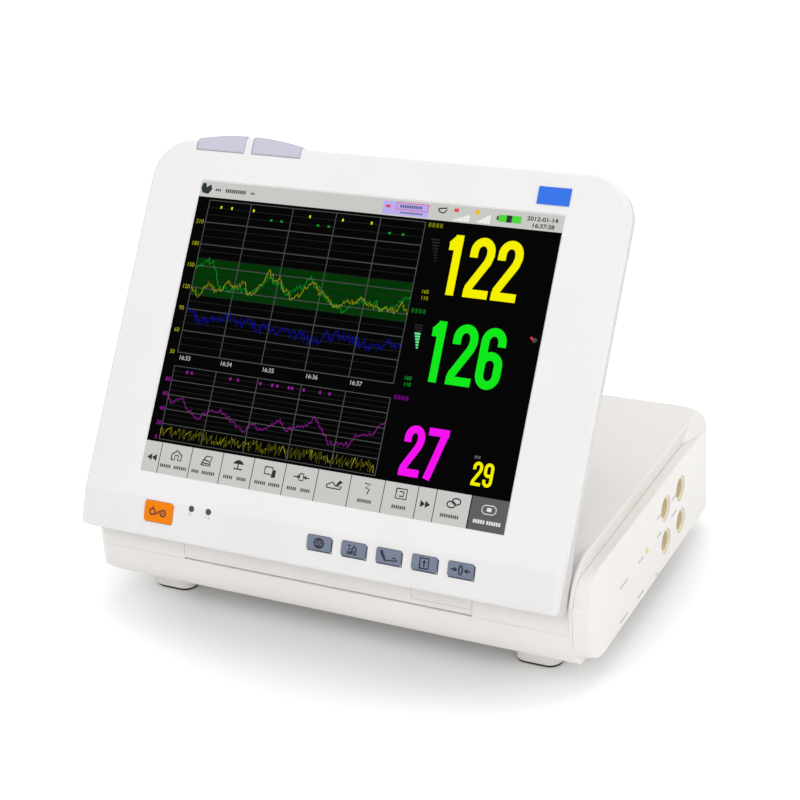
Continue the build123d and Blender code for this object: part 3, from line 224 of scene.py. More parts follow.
# Dark anodised aluminium of the print head and the network socket's shell: a metal with a dull sheen
DARK_METAL = scuffs(grain(material("aluminium_anodised_dark", "55585C", 0.4, metallic=1.0), 0.3, 0.005),
                    0.34, 0.46, 10.0)
# ABS of the printer's tray and bearings, moulded in plain grey: satin
FRAME_GREY = scuffs(grain(material("abs_frame_grey", "9B9C9E", 0.5), 0.5, 0.014), 0.44, 0.56, 16.0)
# Coated thermal chart paper, warm white and matt
PAPER = grain(material("thermal_paper", "F3F0EA", 0.6), 0.3, 0.006)
# Backlit liquid crystal of the display: even colours that give their own light and take no highlight
LIT_BAR = glow("display_bar_grey", "C9CAC6")
LIT_ACTIVE = glow("display_bar_dark", "5F605F")
LIT_GRID = glow("display_grid", "4E5250")
LIT_FAINT = glow("display_grid_faint", "232625")
LIT_BAND = glow("display_band_green", "043507")
LIT_YELLOW = glow("display_yellow", "F5F000")
LIT_OLIVE = glow("display_olive", "A6A318")
LIT_GREEN = glow("display_green", "12E81C")
LIT_LEAF = glow("display_leaf", "149E30")
LIT_MAGENTA = glow("display_magenta", "F414F0")
LIT_PLUM = glow("display_plum", "9A1C9A")
LIT_BLUE = glow("display_blue", "1414A8")
LIT_WHITE = glow("display_white", "C8CAC8")
LIT_DIVIDER = glow("display_ink", "2A2E2C")
LIT_CAPTION_OLIVE = glow("display_caption_olive", "6A6A10")
LIT_CAPTION_LEAF = glow("display_caption_leaf", "0C5A14")
LIT_CAPTION_PLUM = glow("display_caption_plum", "5A0C62")
LIT_MINT = glow("display_mint", "6CE890")
LIT_SYMBOL = glow("display_symbol_ink", "30363A")
LIT_SOFT = glow("display_symbol_soft", "4C504E")
LIT_PALE = glow("display_symbol_light", "E4E6E2")
LIT_LILAC = glow("display_lilac", "B9ADEE")
LIT_RED = glow("display_red", "E0485A")
LIT_SLATE = glow("display_slate", "5A587E")
LIT_SNOW = glow("display_snow", "F4F6F4")
LIT_AMBER = glow("display_amber", "F0B428")
LIT_CHARGE = glow("display_battery_green", "4FD63A")
LIT_ROSE = glow("display_rose", "D8384E")

FINISHES = {
    "case_white": BASE_WHITE_WITH_PAINTED_FILL, "case_grey": BACK_GREY, "display_glass": COVER_GLASS, "dark_metal": DARK_METAL,
    "circuit_green": CIRCUIT, "lamp_clear": LAMP_LENS, "key_orange": KEY_ORANGE, "key_grey": KEY_SLATE,
    "indicator_green": LENS_DARK, "indicator_yellow": LENS_YELLOW, "steel": STEEL, "frame_grey": FRAME_GREY,
    "frame_dark": BLACK_NYLON, "paper": PAPER, "roller_rubber": RUBBER, "socket_cream": SOCKET_IVORY,
    "contact_gold": CONTACT_DARK, "foot_rubber": RUBBER, "panel_black": BLACK_NYLON,
}


def finish_nodes():
    """Each CAD node takes the finish of its material slot; the head's front is its own, whiter moulding."""
    slots = {entry["node"]: entry["material_slot"] for entry in frame["record"]["subparts"]}
    for name, thing in nodes.items():
        finish = FINISHES[slots[name]]
        if name == "head_front_bezel":
            finish = CASE_WHITE
        thing.data.materials.clear()
        thing.data.materials.append(finish)


# Pieces

def keep(name, mesh, finish, body, place):
    """Bake a mesh's place, give it its finish and let it ride on a body."""
    mesh.transform(place)
    mesh.name = name
    thing = bpy.data.objects.new(name, mesh)
    bpy.context.scene.collection.objects.link(thing)
    mesh.materials.clear()
    mesh.materials.append(finish)
    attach(thing, body)


def from_bmesh(form):
    """A mesh from a bmesh, which is freed."""
    mesh = bpy.data.meshes.new("form")
    form.to_mesh(mesh)
    form.free()
    return mesh


def bars(rectangles, lift):
    """Flat rectangles, each given by its left, right, low and high edge."""
    form = bmesh.new()
    for left, right, low, high in rectangles:
        place = Matrix.Translation(((left + right) / 2, (low + high) / 2, lift)) @ Matrix.Diagonal(
            ((right - left) / 2, (high - low) / 2, 1, 1))
        bmesh.ops.create_grid(form, x_segments=1, y_segments=1, size=1.0, matrix=place)
    return from_bmesh(form)


def as_mesh(curve):
    """A curve's shape as a mesh; the curve is removed."""
    thing = bpy.data.objects.new("curve", curve)
    bpy.context.scene.collection.objects.link(thing)
    bpy.context.view_layer.update()
    mesh = bpy.data.meshes.new_from_object(thing.evaluated_get(bpy.context.evaluated_depsgraph_get()))
    bpy.data.objects.remove(thing)
    return mesh


def ribbon(lines, width, lift):
    """Flat ribbons of one width along lines of points."""
    curve = bpy.data.curves.new("ribbon", "CURVE")
    curve.dimensions = "3D"
    curve.twist_mode = "Z_UP"
    curve.extrude = width / 2
    for line in lines:
        spline = curve.splines.new("POLY")
        spline.points.add(len(line) - 1)
        for point, (x, y) in zip(spline.points, line):
            point.co = (x, y, lift, 1)
            point.tilt = math.pi / 2
    return as_mesh(curve)


def lettering(text, x, y, height, lift, squeeze, bold):
    """Figures set in the built-in type, as a flat mesh."""
    curve = bpy.data.curves.new("lettering", "FONT")
    curve.body = text
    curve.size = height / FIGURE_SHARE
    curve.offset = bold
    curve.align_x = "CENTER"
    curve.align_y = "CENTER"
    mesh = as_mesh(curve)
    mesh.transform(Matrix.Translation((x, y, lift)) @ Matrix.Diagonal((squeeze, 1, 1, 1)))
    return mesh


def joined(meshes):
    """Several meshes as one."""
    form = bmesh.new()
    for mesh in meshes:
        form.from_mesh(mesh)
    return from_bmesh(form)


def arc(cx, cy, rx, ry, start, stop):
    """Points along an ellipse, angles in degrees."""
    points = []
    for index in range(ARC_STEPS + 1):
        angle = math.radians(start + (stop - start) * index / ARC_STEPS)
        points.append((cx + rx * math.cos(angle), cy + ry * math.sin(angle)))
    return points


def wedge(points, lift):
    """A flat shape filled inside a closed line."""
    curve = bpy.data.curves.new("wedge", "CURVE")
    curve.dimensions = "2D"
    curve.fill_mode = "FRONT"
    spline = curve.splines.new("POLY")
    spline.points.add(len(points) - 1)
    spline.use_cyclic_u = True
    for point, (x, y) in zip(spline.points, points):
        point.co = (x, y, 0, 1)
    mesh = as_mesh(curve)
    mesh.transform(Matrix.Translation((0, 0, lift)))
    return mesh


# Layout of the display in picture pixels; a rectangle is its left, upper, right and lower edge

PIXELS_PER_MM = 6
PICTURE_LEFT = -123
PICTURE_TOP = 93.2

STATUS_BAR = (0, 0, 1476, 61)
MENU_BAR = (0, 1003, 1335, 1118)
ACTIVE_CELL = (1338, 1003, 1476, 1118)
CELL_EDGES = (72, 205, 338, 470, 603, 735, 868, 1002, 1133, 1203, 1335)

CHART_LEFT = 52
CHART_RIGHT = 957
UPPER_CHART = (72, 662)
LOWER_CHART = (713, 992)
TIME_LINES = (52, 235, 415, 597, 778, 957)
RATE_LINES = (72, 158, 243, 326, 410, 493, 577, 661)
PRESSURE_LINES = (713, 768, 823, 878, 933, 992)
NORMAL_BAND = (53, 297, 957, 439)
DIVIDER_HALF = 1.5
LEVEL_LINE_HALF = 1.3
FINE_LINE_HALF = 0.9
# First fine line, step and end of the two charts
FINE_ROWS = ((72, 27.9, 661), (713, 18.4, 933))

# Turning points of the traces, across and down
YELLOW_TRACE = (
    (52, 405), (75, 425), (92, 445), (108, 410), (122, 388), (140, 405), (160, 410), (190, 398),
    (205, 378), (225, 390), (250, 388), (270, 366), (290, 400), (315, 410), (335, 385), (355, 352),
    (368, 318), (385, 332), (400, 352), (420, 340), (440, 372), (462, 385), (485, 405), (505, 395),
    (525, 375), (540, 352), (555, 333), (575, 345), (590, 372), (612, 372), (640, 392), (668, 415),
    (690, 402), (712, 385), (735, 398), (765, 378), (790, 392), (820, 400), (850, 402), (880, 395),
    (905, 412), (930, 372), (957, 405))
GREEN_TRACE = (
    (52, 330), (80, 322), (100, 300), (122, 308), (135, 338), (150, 352), (165, 392), (185, 400),
    (210, 408), (240, 392), (262, 398), (285, 402), (300, 412), (325, 395), (350, 372), (372, 338),
    (395, 362), (420, 352), (445, 380), (470, 392), (490, 370), (520, 360), (545, 326), (565, 342),
    (590, 365), (620, 385), (650, 402), (680, 412), (706, 428), (725, 405), (750, 388), (780, 385),
    (810, 388), (830, 382), (850, 412), (870, 395), (890, 402), (915, 378), (935, 362), (957, 345))
BLUE_TRACE = (
    (52, 495), (90, 520), (130, 535), (165, 530), (200, 515), (240, 500), (280, 515), (330, 520),
    (380, 530), (430, 525), (480, 540), (530, 535), (580, 545), (620, 545), (660, 525), (700, 515),
    (760, 520), (800, 535), (850, 545), (900, 525), (957, 530))
PLUM_TRACE = (
    (52, 830), (75, 858), (100, 830), (122, 832), (145, 870), (175, 880), (195, 895), (225, 872),
    (250, 858), (290, 850), (320, 872), (345, 885), (375, 905), (405, 910), (430, 885), (470, 898),
    (500, 880), (540, 855), (570, 888), (600, 872), (640, 862), (660, 850), (675, 825), (700, 848),
    (725, 875), (745, 905), (790, 905), (830, 900), (850, 862), (885, 862), (915, 845), (935, 820),
    (957, 800))
# Piece, points, wander, step, seed, pen in millimetres, layers above the grid and finish
TRACES = (
    ("trace_green", GREEN_TRACE, 13, 3.2, 11, 0.38, 1 / 3, LIT_LEAF),
    ("trace_yellow", YELLOW_TRACE, 12, 3.2, 5, 0.38, 2 / 3, LIT_OLIVE),
    ("trace_blue", BLUE_TRACE, 22, 3.2, 7, 0.42, 1 / 3, LIT_BLUE),
    ("trace_plum", PLUM_TRACE, 10, 4.0, 3, 0.4, 1 / 3, LIT_PLUM),
)
# The spiky trace swings between two levels, each with its own scatter, at changing steps
SPIKES_UPPER = 938
SPIKES_LOWER = 985
SPIKES_UPPER_SCATTER = 12
SPIKES_LOWER_SCATTER = 16
SPIKES_STEPS = (4.5, 6.0, 8.0, 14.0)
SPIKES_LEAN = (1, 5)
SPIKES_RIGHT = 955
SPIKES_SEED = 9
SPIKES_PEN = 0.42

# Small marks in rows over the traces: their places, and their half width and reach up and down
YELLOW_MARKS = ((108, 96), (155, 96), (250, 96), (490, 96), (627, 96), (745, 96))
YELLOW_MARK_REACH = (3, 5, 5)
GREEN_MARKS = ((332, 125), (376, 125), (530, 125), (575, 125), (824, 125), (878, 125))
GREEN_MARK_REACH = (5, 3, 4)
PLUM_MARKS = (112, 132, 300, 333, 428, 478, 500, 548, 562, 610, 677, 716)
PLUM_MARK_HALF = 4
PLUM_MARK_ROW = (726, 737)

# Heights of the small figures in millimetres
SCALE_FIGURES = 2.7
TIME_FIGURES = 2.8
LIMIT_FIGURES = 2.4
# Small figures: text, across, down
RATE_SCALE = (("210", 28, 158), ("180", 28, 243), ("150", 28, 326), ("120", 28, 410), ("90", 28, 493),
              ("60", 28, 577), ("30", 28, 661))
PRESSURE_SCALE = (("80", 36, 766), ("60", 36, 821), ("40", 36, 877), ("20", 36, 932), ("0", 36, 986))
TIME_SCALE = (("16:33", 88, 680), ("16:34", 268, 680), ("16:35", 448, 680), ("16:36", 630, 680),
              ("16:37", 810, 680))
FIRST_LIMITS = (("160", 1008, 322), ("110", 1010, 345))
SECOND_LIMITS = (("160", 1008, 635), ("110", 1010, 658))
# Large readings: piece, figures, rectangle, pen as a share of the height, finish
READINGS = (
    ("reading_first", "122", (1045, 106, 1352, 324), 0.14, LIT_YELLOW),
    ("reading_second", "126", (1045, 418, 1352, 637), 0.14, LIT_GREEN),
    ("reading_third", "27", (1042, 795, 1208, 976), 0.15, LIT_MAGENTA),
    ("reading_fourth", "29", (1319, 885, 1397, 969), 0.135, LIT_YELLOW),
)
# A large digit: its width as a share of its height, and its bowl's height as a share of its half width
DIGIT_WIDTH_SHARE = 0.43
DIGIT_BOWL_SHARE = 1.15
# Rows of marks above the readings: piece, left, right, down, height, step, width, finish
CAPTIONS = (
    ("caption_first", 970, 1028, 80, 16, 15, 11, LIT_CAPTION_OLIVE),
    ("caption_second", 970, 1028, 393, 16, 15, 11, LIT_CAPTION_LEAF),
    ("caption_third", 970, 1028, 707, 16, 15, 11, LIT_CAPTION_PLUM),
    ("caption_fourth", 1316, 1338, 871, 10, 8, 6, LIT_ACTIVE),
)
# Fans beside the readings: rows, left end, its shift by row, right end, first row, step down, thickness
GREEN_FAN = (6, 1000, 3.2, 1023, 470, 10, 7)
UPPER_GREY_FAN = (8, 992, 4.0, 1026, 128, 11, 6)
LOWER_GREY_FAN = (3, 992, 4.0, 1026, 440, 10, 6)

# Rows of marks in the menu bar: left and right ends
MENU_ROWS = ((80, 132), (140, 200), (218, 247), (262, 320), (355, 398), (412, 455), (487, 532), (545, 590),
             (622, 666), (678, 722), (908, 962), (1043, 1097), (1230, 1306))
ACTIVE_ROWS = ((1355, 1397), (1405, 1456))
MENU_ROW_DOWN = 1087
MENU_ROW_TALL = 12
MENU_ROW_STEP = 8
MENU_ROW_MARK = 5.6
ACTIVE_ROW_TALL = 13
ACTIVE_SQUARE = (1398, 1036, 1415, 1049)
ACTIVE_FRAME = ((1390, 1028), (1422, 1028), (1432, 1036), (1432, 1050), (1422, 1058), (1390, 1058),
                (1380, 1050), (1380, 1036), (1390, 1028))
FRAME_PEN = 0.5
SYMBOL_PEN = 0.8
# Symbols of both bars, each with its filled shapes or its lines
SYMBOL_SHAPES = {
    "step back": [((18, 1063), (38, 1050), (38, 1076)), ((38, 1063), (59, 1050), (59, 1076))],
    "step on": [((1187, 1061), (1168, 1048), (1168, 1074)), ((1168, 1061), (1149, 1048), (1149, 1074))],
    "inward arrows": [
        ((640, 1041), (655, 1041), (655, 1034), (668, 1042), (655, 1050), (655, 1045), (640, 1045)),
        ((705, 1041), (692, 1041), (692, 1034), (679, 1042), (692, 1050), (692, 1045), (705, 1045))],
    "shade": [((384, 1035), (394, 1024), (408, 1019), (422, 1024), (431, 1035))],
    "corner mark": [((6, 10), (22, 8), (26, 24), (44, 12), (52, 30), (38, 50), (12, 46), (4, 30))],
    "battery": [((1262, 18), (1282, 18), (1282, 44), (1262, 44))],
    "pen": [((826, 1030), (840, 1036), (820, 1052), (814, 1048))],
    "screen": [((552, 1034), (566, 1034), (566, 1062), (548, 1062))],
}
SYMBOL_LINES = {
    "house": [((122, 1060), (122, 1040), (136, 1030), (142, 1024), (150, 1030), (164, 1040), (164, 1060),
               (150, 1060), (150, 1042), (136, 1042), (136, 1060), (122, 1060))],
    "pages": [((252, 1060), (262, 1036), (270, 1026), (294, 1026), (288, 1048), (292, 1060), (252, 1060)),
              ((262, 1040), (284, 1044)), ((256, 1052), (288, 1054))],
    "shade": [((407, 1034), (407, 1052)), ((390, 1053), (426, 1053))],
    "screen": [((520, 1026), (552, 1026), (552, 1034)), ((520, 1026), (520, 1052), (546, 1052))],
    "inward arrows": [((664, 1030), (680, 1030), (680, 1054), (664, 1054), (664, 1030))],
    "pen": [((777, 1052), (800, 1040), (812, 1052), (838, 1052), (832, 1062), (780, 1062), (777, 1052))],
    "ribbon": [((926, 1024), (948, 1026), (930, 1040), (946, 1044), (940, 1062))],
    "frame": [((1051, 1022), (1092, 1022), (1092, 1057), (1051, 1057), (1051, 1022)),
              ((1064, 1032), (1080, 1032), (1080, 1048), (1064, 1048))],
    "cup": [((995, 20), (1004, 30), (1020, 33), (1030, 20)), ((996, 18), (1030, 14))],
    "rings": [arc(1264, 1046, 16, 11, 0, 360), arc(1282, 1034, 16, 11, 0, 360)],
}

# Status bar: rows of marks, a framed notice, bars that step up, a bell, a battery, the date and the time
STATUS_ROWS = ((67, 97, 31, 9), (112, 202, 31, 14), (222, 240, 32, 8))
NOTICE_ROWS = ((845, 940, 23, 11), (850, 945, 46, 6))
NOTICE = (777, 8, 960, 56)
NOTICE_SIGNS = ((830, 9, 957, 11.5), (830, 33.5, 957, 36), (830, 9, 832.5, 36), (954.5, 9, 957, 36),
                (788, 22, 806, 32), (1058, 12, 1076, 24))
# Bars that step up: how many, left end, top of the first, rise of each
STEPPED_BARS = ((8, 1060, 52, 3), (6, 1155, 48, 5))
STEP_APART = 8
STEP_WIDE = 6
STEP_FOOT = 56
BELL = (1140, 10, 1156, 26)
BATTERY_CELLS = ((1232, 18, 1262, 44), (1282, 18, 1318, 44))
BATTERY_END = (1224, 24, 1232, 38)
DATE_AND_TIME = (("2012-01-14", 1396, 22), ("16:37:38", 1402, 46))
DATE_FIGURES = 2.5
DATE_SQUEEZE = 1.2
DATE_BOLD = 0.09

# A small heart in two halves beside the second reading
HEART = ((1432, 436), (1438, 432), (1446, 437), (1446, 448))
HEART_SHINE = ((1446, 438), (1456, 436), (1462, 444), (1448, 455))


def on_screen(x, y):
    """A point given in picture pixels, in the head's millimetres."""
    return x / PIXELS_PER_MM + PICTURE_LEFT, PICTURE_TOP - y / PIXELS_PER_MM


def spans(rectangles):
    """Rectangles in picture pixels, as edges on the screen."""
    edges = []
    for x0, y0, x1, y1 in rectangles:
        left, high = on_screen(x0, y0)
        right, low = on_screen(x1, y1)
        edges.append((left, right, low, high))
    return edges


def around(points, half_wide, above, below):
    """Small rectangles around points, in picture pixels."""
    return [(x - half_wide, y - above, x + half_wide, y + below) for x, y in points]


def level_lines(rows, half):
    """Lines across the chart, in picture pixels."""
    return [(CHART_LEFT, y - half, CHART_RIGHT, y + half) for y in rows]


def upright_lines(columns, half, upper, lower):
    """Lines up and down, in picture pixels."""
    return [(x - half, upper, x + half, lower) for x in columns]


def dashes(left, right, y, tall, step=9, width=6.5):
    """A row of short marks, in picture pixels."""
    marks = []
    x = left
    while x + width <= right + 1:
        marks.append((x, y - tall / 2, x + width, y + tall / 2))
        x += step
    return marks


def traced(lines):
    """Lines in picture pixels, as points on the screen."""
    return [[on_screen(x, y) for x, y in line] for line in lines]


def figures(entries, height, squeeze=1.0, bold=0.0):
    """Small figures at their places on the screen."""
    meshes = []
    for text, x, y in entries:
        meshes.append(lettering(text, *on_screen(x, y), height, SIGN_LEVEL, squeeze, bold))
    return joined(meshes)


def fan(rows, left, shift, right, first, step, thick):
    """Rows that grow shorter downwards, in picture pixels."""
    marks = []
    for row in range(rows):
        upper = first + row * step
        marks.append((left + row * shift, upper, right, upper + thick))
    return marks


def stepped(count, left, first, rise):
    """Upright bars on one foot that step up to the right, in picture pixels."""
    marks = []
    for step in range(count):
        start = left + step * STEP_APART
        marks.append((start, first - step * rise, start + STEP_WIDE, STEP_FOOT))
    return marks


def show(name, mesh, finish):
    """A part of the picture on the display."""
    keep(name, mesh, finish, "head", HEAD_FRAME)


def digit_lines(digit, pen):
    """Strokes of a narrow digit in a box one unit high, for a pen of that width."""
    wide = DIGIT_WIDTH_SHARE
    half = pen / 2
    left = half
    right = wide - half
    low = half
    high = 1 - half
    centre = wide / 2
    bowl = centre - half
    rise = bowl * DIGIT_BOWL_SHARE
    hook = [(left, 0.66)] + arc(centre, high - rise, bowl, rise, 180, 0)
    belly = arc(centre, low + rise, bowl, rise, 180, 360)
    roof = arc(centre, high - rise, bowl, rise, 0, 180)
    slant = [(right, 0.71), (right - 0.03, 0.6), (left + 0.01, 0.17), (left, half)]
    strokes = {
        "1": [[(0.26, 0), (0.26, 1)], [(0.1, 0.81), (0.26, 0.81)], [(0.14, 0.82), (0.25, 0.94)]],
        "2": [hook + slant, [(0, half), (wide, half)]],
        "6": [[(right, 0.7)] + roof + belly + arc(centre, 0.54 - bowl, bowl, bowl, 0, 180)],
        "7": [[(0, high), (wide, high)], [(right, high), (right - 0.02, 0.84), (centre - 0.1, 0)]],
        "9": [[(left, 0.3)] + belly + roof + arc(centre, 0.46 + bowl, bowl, bowl, 180, 360)],
    }
    return strokes[digit]


def big_number(text, rectangle, pen):
    """A large reading that fills a rectangle given in picture pixels."""
    left, right, low, high = spans([rectangle])[0]
    tall = high - low
    step = (right - left - DIGIT_WIDTH_SHARE * tall) / (len(text) - 1)
    lines = []
    for index, digit in enumerate(text):
        for stroke in digit_lines(digit, pen):
            lines.append([(left + index * step + x * tall, low + y * tall) for x, y in stroke])
    return ribbon(lines, pen * tall, SIGN_LEVEL)


def wander(points, jitter, step, seed):
    """A trace through given points with a small random wander between them."""
    source = random.Random(seed)
    line = []
    for (x0, y0), (x1, y1) in zip(points, points[1:]):
        count = max(int(abs(x1 - x0) / step), 1)
        for index in range(count):
            share = index / count
            line.append((x0 + (x1 - x0) * share, y0 + (y1 - y0) * share + source.uniform(-jitter, jitter)))
    line.append(points[-1])
    return traced([line])


def spikes():
    """The spiky trace at the foot of the lower chart."""
    source = random.Random(SPIKES_SEED)
    line = []
    x = CHART_LEFT
    while x < SPIKES_RIGHT:
        line.append((x, SPIKES_UPPER + abs(source.gauss(0, SPIKES_UPPER_SCATTER))))
        lean = source.uniform(*SPIKES_LEAN)
        line.append((x + lean, SPIKES_LOWER - abs(source.gauss(0, SPIKES_LOWER_SCATTER))))
        x += source.choice(SPIKES_STEPS)
    return traced([line])


def draw_charts():
    """Bars, grids and traces of the display."""
    show("display_bars", bars(spans([STATUS_BAR, MENU_BAR]), FIELD_LEVEL), LIT_BAR)
    show("display_bar_active", bars(spans([ACTIVE_CELL]), FIELD_LEVEL), LIT_ACTIVE)
    show("display_normal_band", bars(spans([NORMAL_BAND]), FIELD_LEVEL), LIT_BAND)
    dividers = upright_lines(CELL_EDGES, DIVIDER_HALF, MENU_BAR[1], MENU_BAR[3])
    show("display_dividers", bars(spans(dividers), LINE_LEVEL), LIT_DIVIDER)
    grid = upright_lines(TIME_LINES, DIVIDER_HALF, *UPPER_CHART)
    grid += upright_lines(TIME_LINES, DIVIDER_HALF, *LOWER_CHART)
    grid += level_lines(RATE_LINES + PRESSURE_LINES, LEVEL_LINE_HALF)
    show("display_grid_lines", bars(spans(grid), LINE_LEVEL), LIT_GRID)
    rows = []
    for first, step, last in FINE_ROWS:
        y = first
        while y < last:
            rows.append(y)
            y += step
    fine = spans(level_lines(rows, FINE_LINE_HALF))
    show("display_fine_lines", bars(fine, FIELD_LEVEL + LAYER / 2), LIT_FAINT)
    for name, points, jitter, step, seed, pen, layers, finish in TRACES:
        show(name, ribbon(wander(points, jitter, step, seed), pen, LINE_LEVEL + layers * LAYER), finish)
    show("trace_jagged", ribbon(spikes(), SPIKES_PEN, LINE_LEVEL + LAYER / 3), LIT_OLIVE)
    show("marks_yellow", bars(spans(around(YELLOW_MARKS, *YELLOW_MARK_REACH)), LINE_LEVEL), LIT_YELLOW)
    show("marks_green", bars(spans(around(GREEN_MARKS, *GREEN_MARK_REACH)), LINE_LEVEL), LIT_LEAF)
    marks = upright_lines(PLUM_MARKS, PLUM_MARK_HALF, *PLUM_MARK_ROW)
    show("marks_plum", bars(spans(marks), LINE_LEVEL), LIT_PLUM)


def draw_readings():
    """Figures of the scales, the large readings with their limits and captions, and the strength fans."""
    show("scale_upper", figures(RATE_SCALE, SCALE_FIGURES), LIT_OLIVE)
    show("scale_lower", figures(PRESSURE_SCALE, SCALE_FIGURES), LIT_PLUM)
    show("scale_times", figures(TIME_SCALE, TIME_FIGURES), LIT_WHITE)
    for name, text, rectangle, pen, finish in READINGS:
        show(name, big_number(text, rectangle, pen), finish)
    show("limits_first", figures(FIRST_LIMITS, LIMIT_FIGURES), LIT_OLIVE)
    show("limits_second", figures(SECOND_LIMITS, LIMIT_FIGURES), LIT_LEAF)
    for name, left, right, y, tall, step, width, finish in CAPTIONS:
        show(name, bars(spans(dashes(left, right, y, tall, step, width)), SIGN_LEVEL), finish)
    show("strength_green", bars(spans(fan(*GREEN_FAN)), SIGN_LEVEL), LIT_MINT)
    show("strength_grey", bars(spans(fan(*UPPER_GREY_FAN) + fan(*LOWER_GREY_FAN)), SIGN_LEVEL), LIT_FAINT)


def draw_menu():
    """Rows of marks and symbols in the display's two bars."""
    marks = []
    for left, right in MENU_ROWS:
        marks += dashes(left, right, MENU_ROW_DOWN, MENU_ROW_TALL, MENU_ROW_STEP, MENU_ROW_MARK)
    for row in STATUS_ROWS:
        marks += dashes(*row)
    show("display_words", bars(spans(marks), SIGN_LEVEL), LIT_SOFT)
    marks = []
    for left, right in ACTIVE_ROWS:
        marks += dashes(left, right, MENU_ROW_DOWN, ACTIVE_ROW_TALL)
    show("display_words_light", bars(spans(marks + [ACTIVE_SQUARE]), SIGN_LEVEL), LIT_PALE)
    show("display_frame_light", ribbon(traced([ACTIVE_FRAME]), FRAME_PEN, SIGN_LEVEL), LIT_PALE)
    shapes = [shape for symbol in SYMBOL_SHAPES.values() for shape in traced(symbol)]
    show("display_fills", joined([wedge(shape, SIGN_LEVEL) for shape in shapes]), LIT_SYMBOL)
    lines = [line for symbol in SYMBOL_LINES.values() for line in traced(symbol)]
    show("display_outlines", ribbon(lines, SYMBOL_PEN, SIGN_LEVEL), LIT_SYMBOL)


def draw_status():
    """The date, the notice, the stepped bars, the bell, the battery and the small heart."""
    show("display_date", figures(DATE_AND_TIME, DATE_FIGURES, DATE_SQUEEZE, DATE_BOLD), LIT_SYMBOL)
    show("display_notice", bars(spans([NOTICE]), LINE_LEVEL), LIT_LILAC)
    show("display_notice_frame", bars(spans(NOTICE_SIGNS), SIGN_LEVEL), LIT_RED)
    marks = [mark for row in NOTICE_ROWS for mark in dashes(*row)]
    show("display_notice_words", bars(spans(marks), SIGN_LEVEL + LAYER / 3), LIT_SLATE)
    marks = [mark for row in STEPPED_BARS for mark in stepped(*row)]
    show("display_strength", bars(spans(marks), SIGN_LEVEL), LIT_SNOW)
    show("display_bell", bars(spans([BELL]), SIGN_LEVEL), LIT_AMBER)
    show("display_battery", bars(spans(BATTERY_CELLS), SIGN_LEVEL), LIT_CHARGE)
    show("display_battery_end", bars(spans([BATTERY_END]), SIGN_LEVEL), LIT_SOFT)
    show("display_heart", wedge(traced([HEART])[0], SIGN_LEVEL), LIT_ROSE)
    show("display_heart_shine", wedge(traced([HEART_SHINE])[0], SIGN_LEVEL), LIT_SOFT)


# Prints on the keys, the strip and the side, and painted shade beside the keys, in millimetres

KEY_ROW = -7.9
KEY_FACE = 0.66
POWER_SHIFT = -0.1
POWER_ROW = -7.7
POWER_FACE = 0.87
POWER_PEN = 1.05
# Painted shade along the lower and right edges beside each key, across from its middle and up the strip
SHADE_LEFT = 7.6
SHADE_RIGHT = 8.95
SHADE_LOW = -13.05
SHADE_HIGH = -4.4
SHADE_WIDE = 0.55
BADGE = (104.3, 124.5, 98.5, 109.0)
BADGE_THICK = 0.5
SMALL_PEN = 0.55
SMALL_MARKS = (((-82.9, -5.1), (-81.6, -5.3), (-80.6, -5.9)), ((-71.0, -5.3), (-70.2, -5.6), (-69.6, -5.7)),
               ((-67.6, -5.0), (-67.9, -6.4)))

# Pictograms around the middle of their key
DISC = arc(0, 0, 3.6, 3.3, 0, 360)
PICTURE = [((-2.2, -1.0), (-2.2, 1.2), (2.2, 1.2), (2.2, -1.0), (-2.2, -1.0)),
           ((-2.2, -1.0), (0, 0.6), (2.2, -1.0))]
BELL_LINES = [((-0.2, -2.7), (-0.2, 0.6), (1.1, 2.3), (2.4, 0.6), (2.4, -2.7), (1.1, -2.7), (1.1, -0.4)),
              ((-3.2, 2.2), (-1.4, 2.4), (-2.6, 0.0), (-1.2, 0.0))]
BELL_BLOCK = ((-3.4, -2.9), (-0.6, -2.9), (-0.6, -1.2), (-3.4, -1.2))
HANDSET = ((-5.4, 3.1), (-4.2, 3.4), (-1.2, -2.3), (-1.8, -3.2), (-2.6, -2.8), (-5.6, 1.6))
HANDSET_LINES = [((-1.2, -2.6), (1.2, -2.0), (5.0, -2.0), (5.6, -1.0)),
                 ((2.6, -0.9), (3.6, -0.2), (4.8, -0.8))]
SHEET_LINES = [((-2.7, -3.0), (-2.7, 3.0), (2.7, 3.0), (2.7, -3.0), (-2.7, -3.0)), ((0, -2.0), (0, 1.2))]
SHEET_ARROW = ((-1.3, 0.4), (0, 2.2), (1.3, 0.4))
ZERO_LINES = [((-6.0, 0), (-3.6, 0)), ((6.0, 0), (3.6, 0)), arc(0, 0, 1.1, 2.6, 0, 360)]
ZERO_ARROWS = [((-4.2, 1.5), (-1.8, 0), (-4.2, -1.5)), ((4.2, 1.5), (1.8, 0), (4.2, -1.5))]
POWER_LINES = [arc(-4.0, -0.1, 1.9, 1.9, 0, 360), ((-3.8, 1.9), (-3.8, 3.2)), ((-1.5, -1.5), (1.3, 1.0)),
               arc(3.6, -0.2, 1.9, 1.9, 0, 360), ((3.0, -0.4), (4.2, 0.1))]
# Piece, number of its key, lines, filled shapes, pen, shift across, layers above the key and finish
KEY_MARKS = (
    ("key_mark_1", 1, [], [DISC], 0.5, 0.0, 0, INK_DARK),
    ("key_picture_1", 1, PICTURE, [], 0.42, 0.0, 1, KEY_SLATE),
    ("key_mark_2", 2, BELL_LINES, [BELL_BLOCK], 1.0, -0.6, 0, INK_DARK),
    ("key_mark_3", 3, HANDSET_LINES, [HANDSET], 0.8, 0.0, 0, INK_DARK),
    ("key_mark_4", 4, SHEET_LINES, [SHEET_ARROW], 1.0, 0.0, 0, INK_DARK),
    ("key_mark_5", 5, ZERO_LINES, ZERO_ARROWS, 0.95, 0.0, 0, INK_DARK),
)

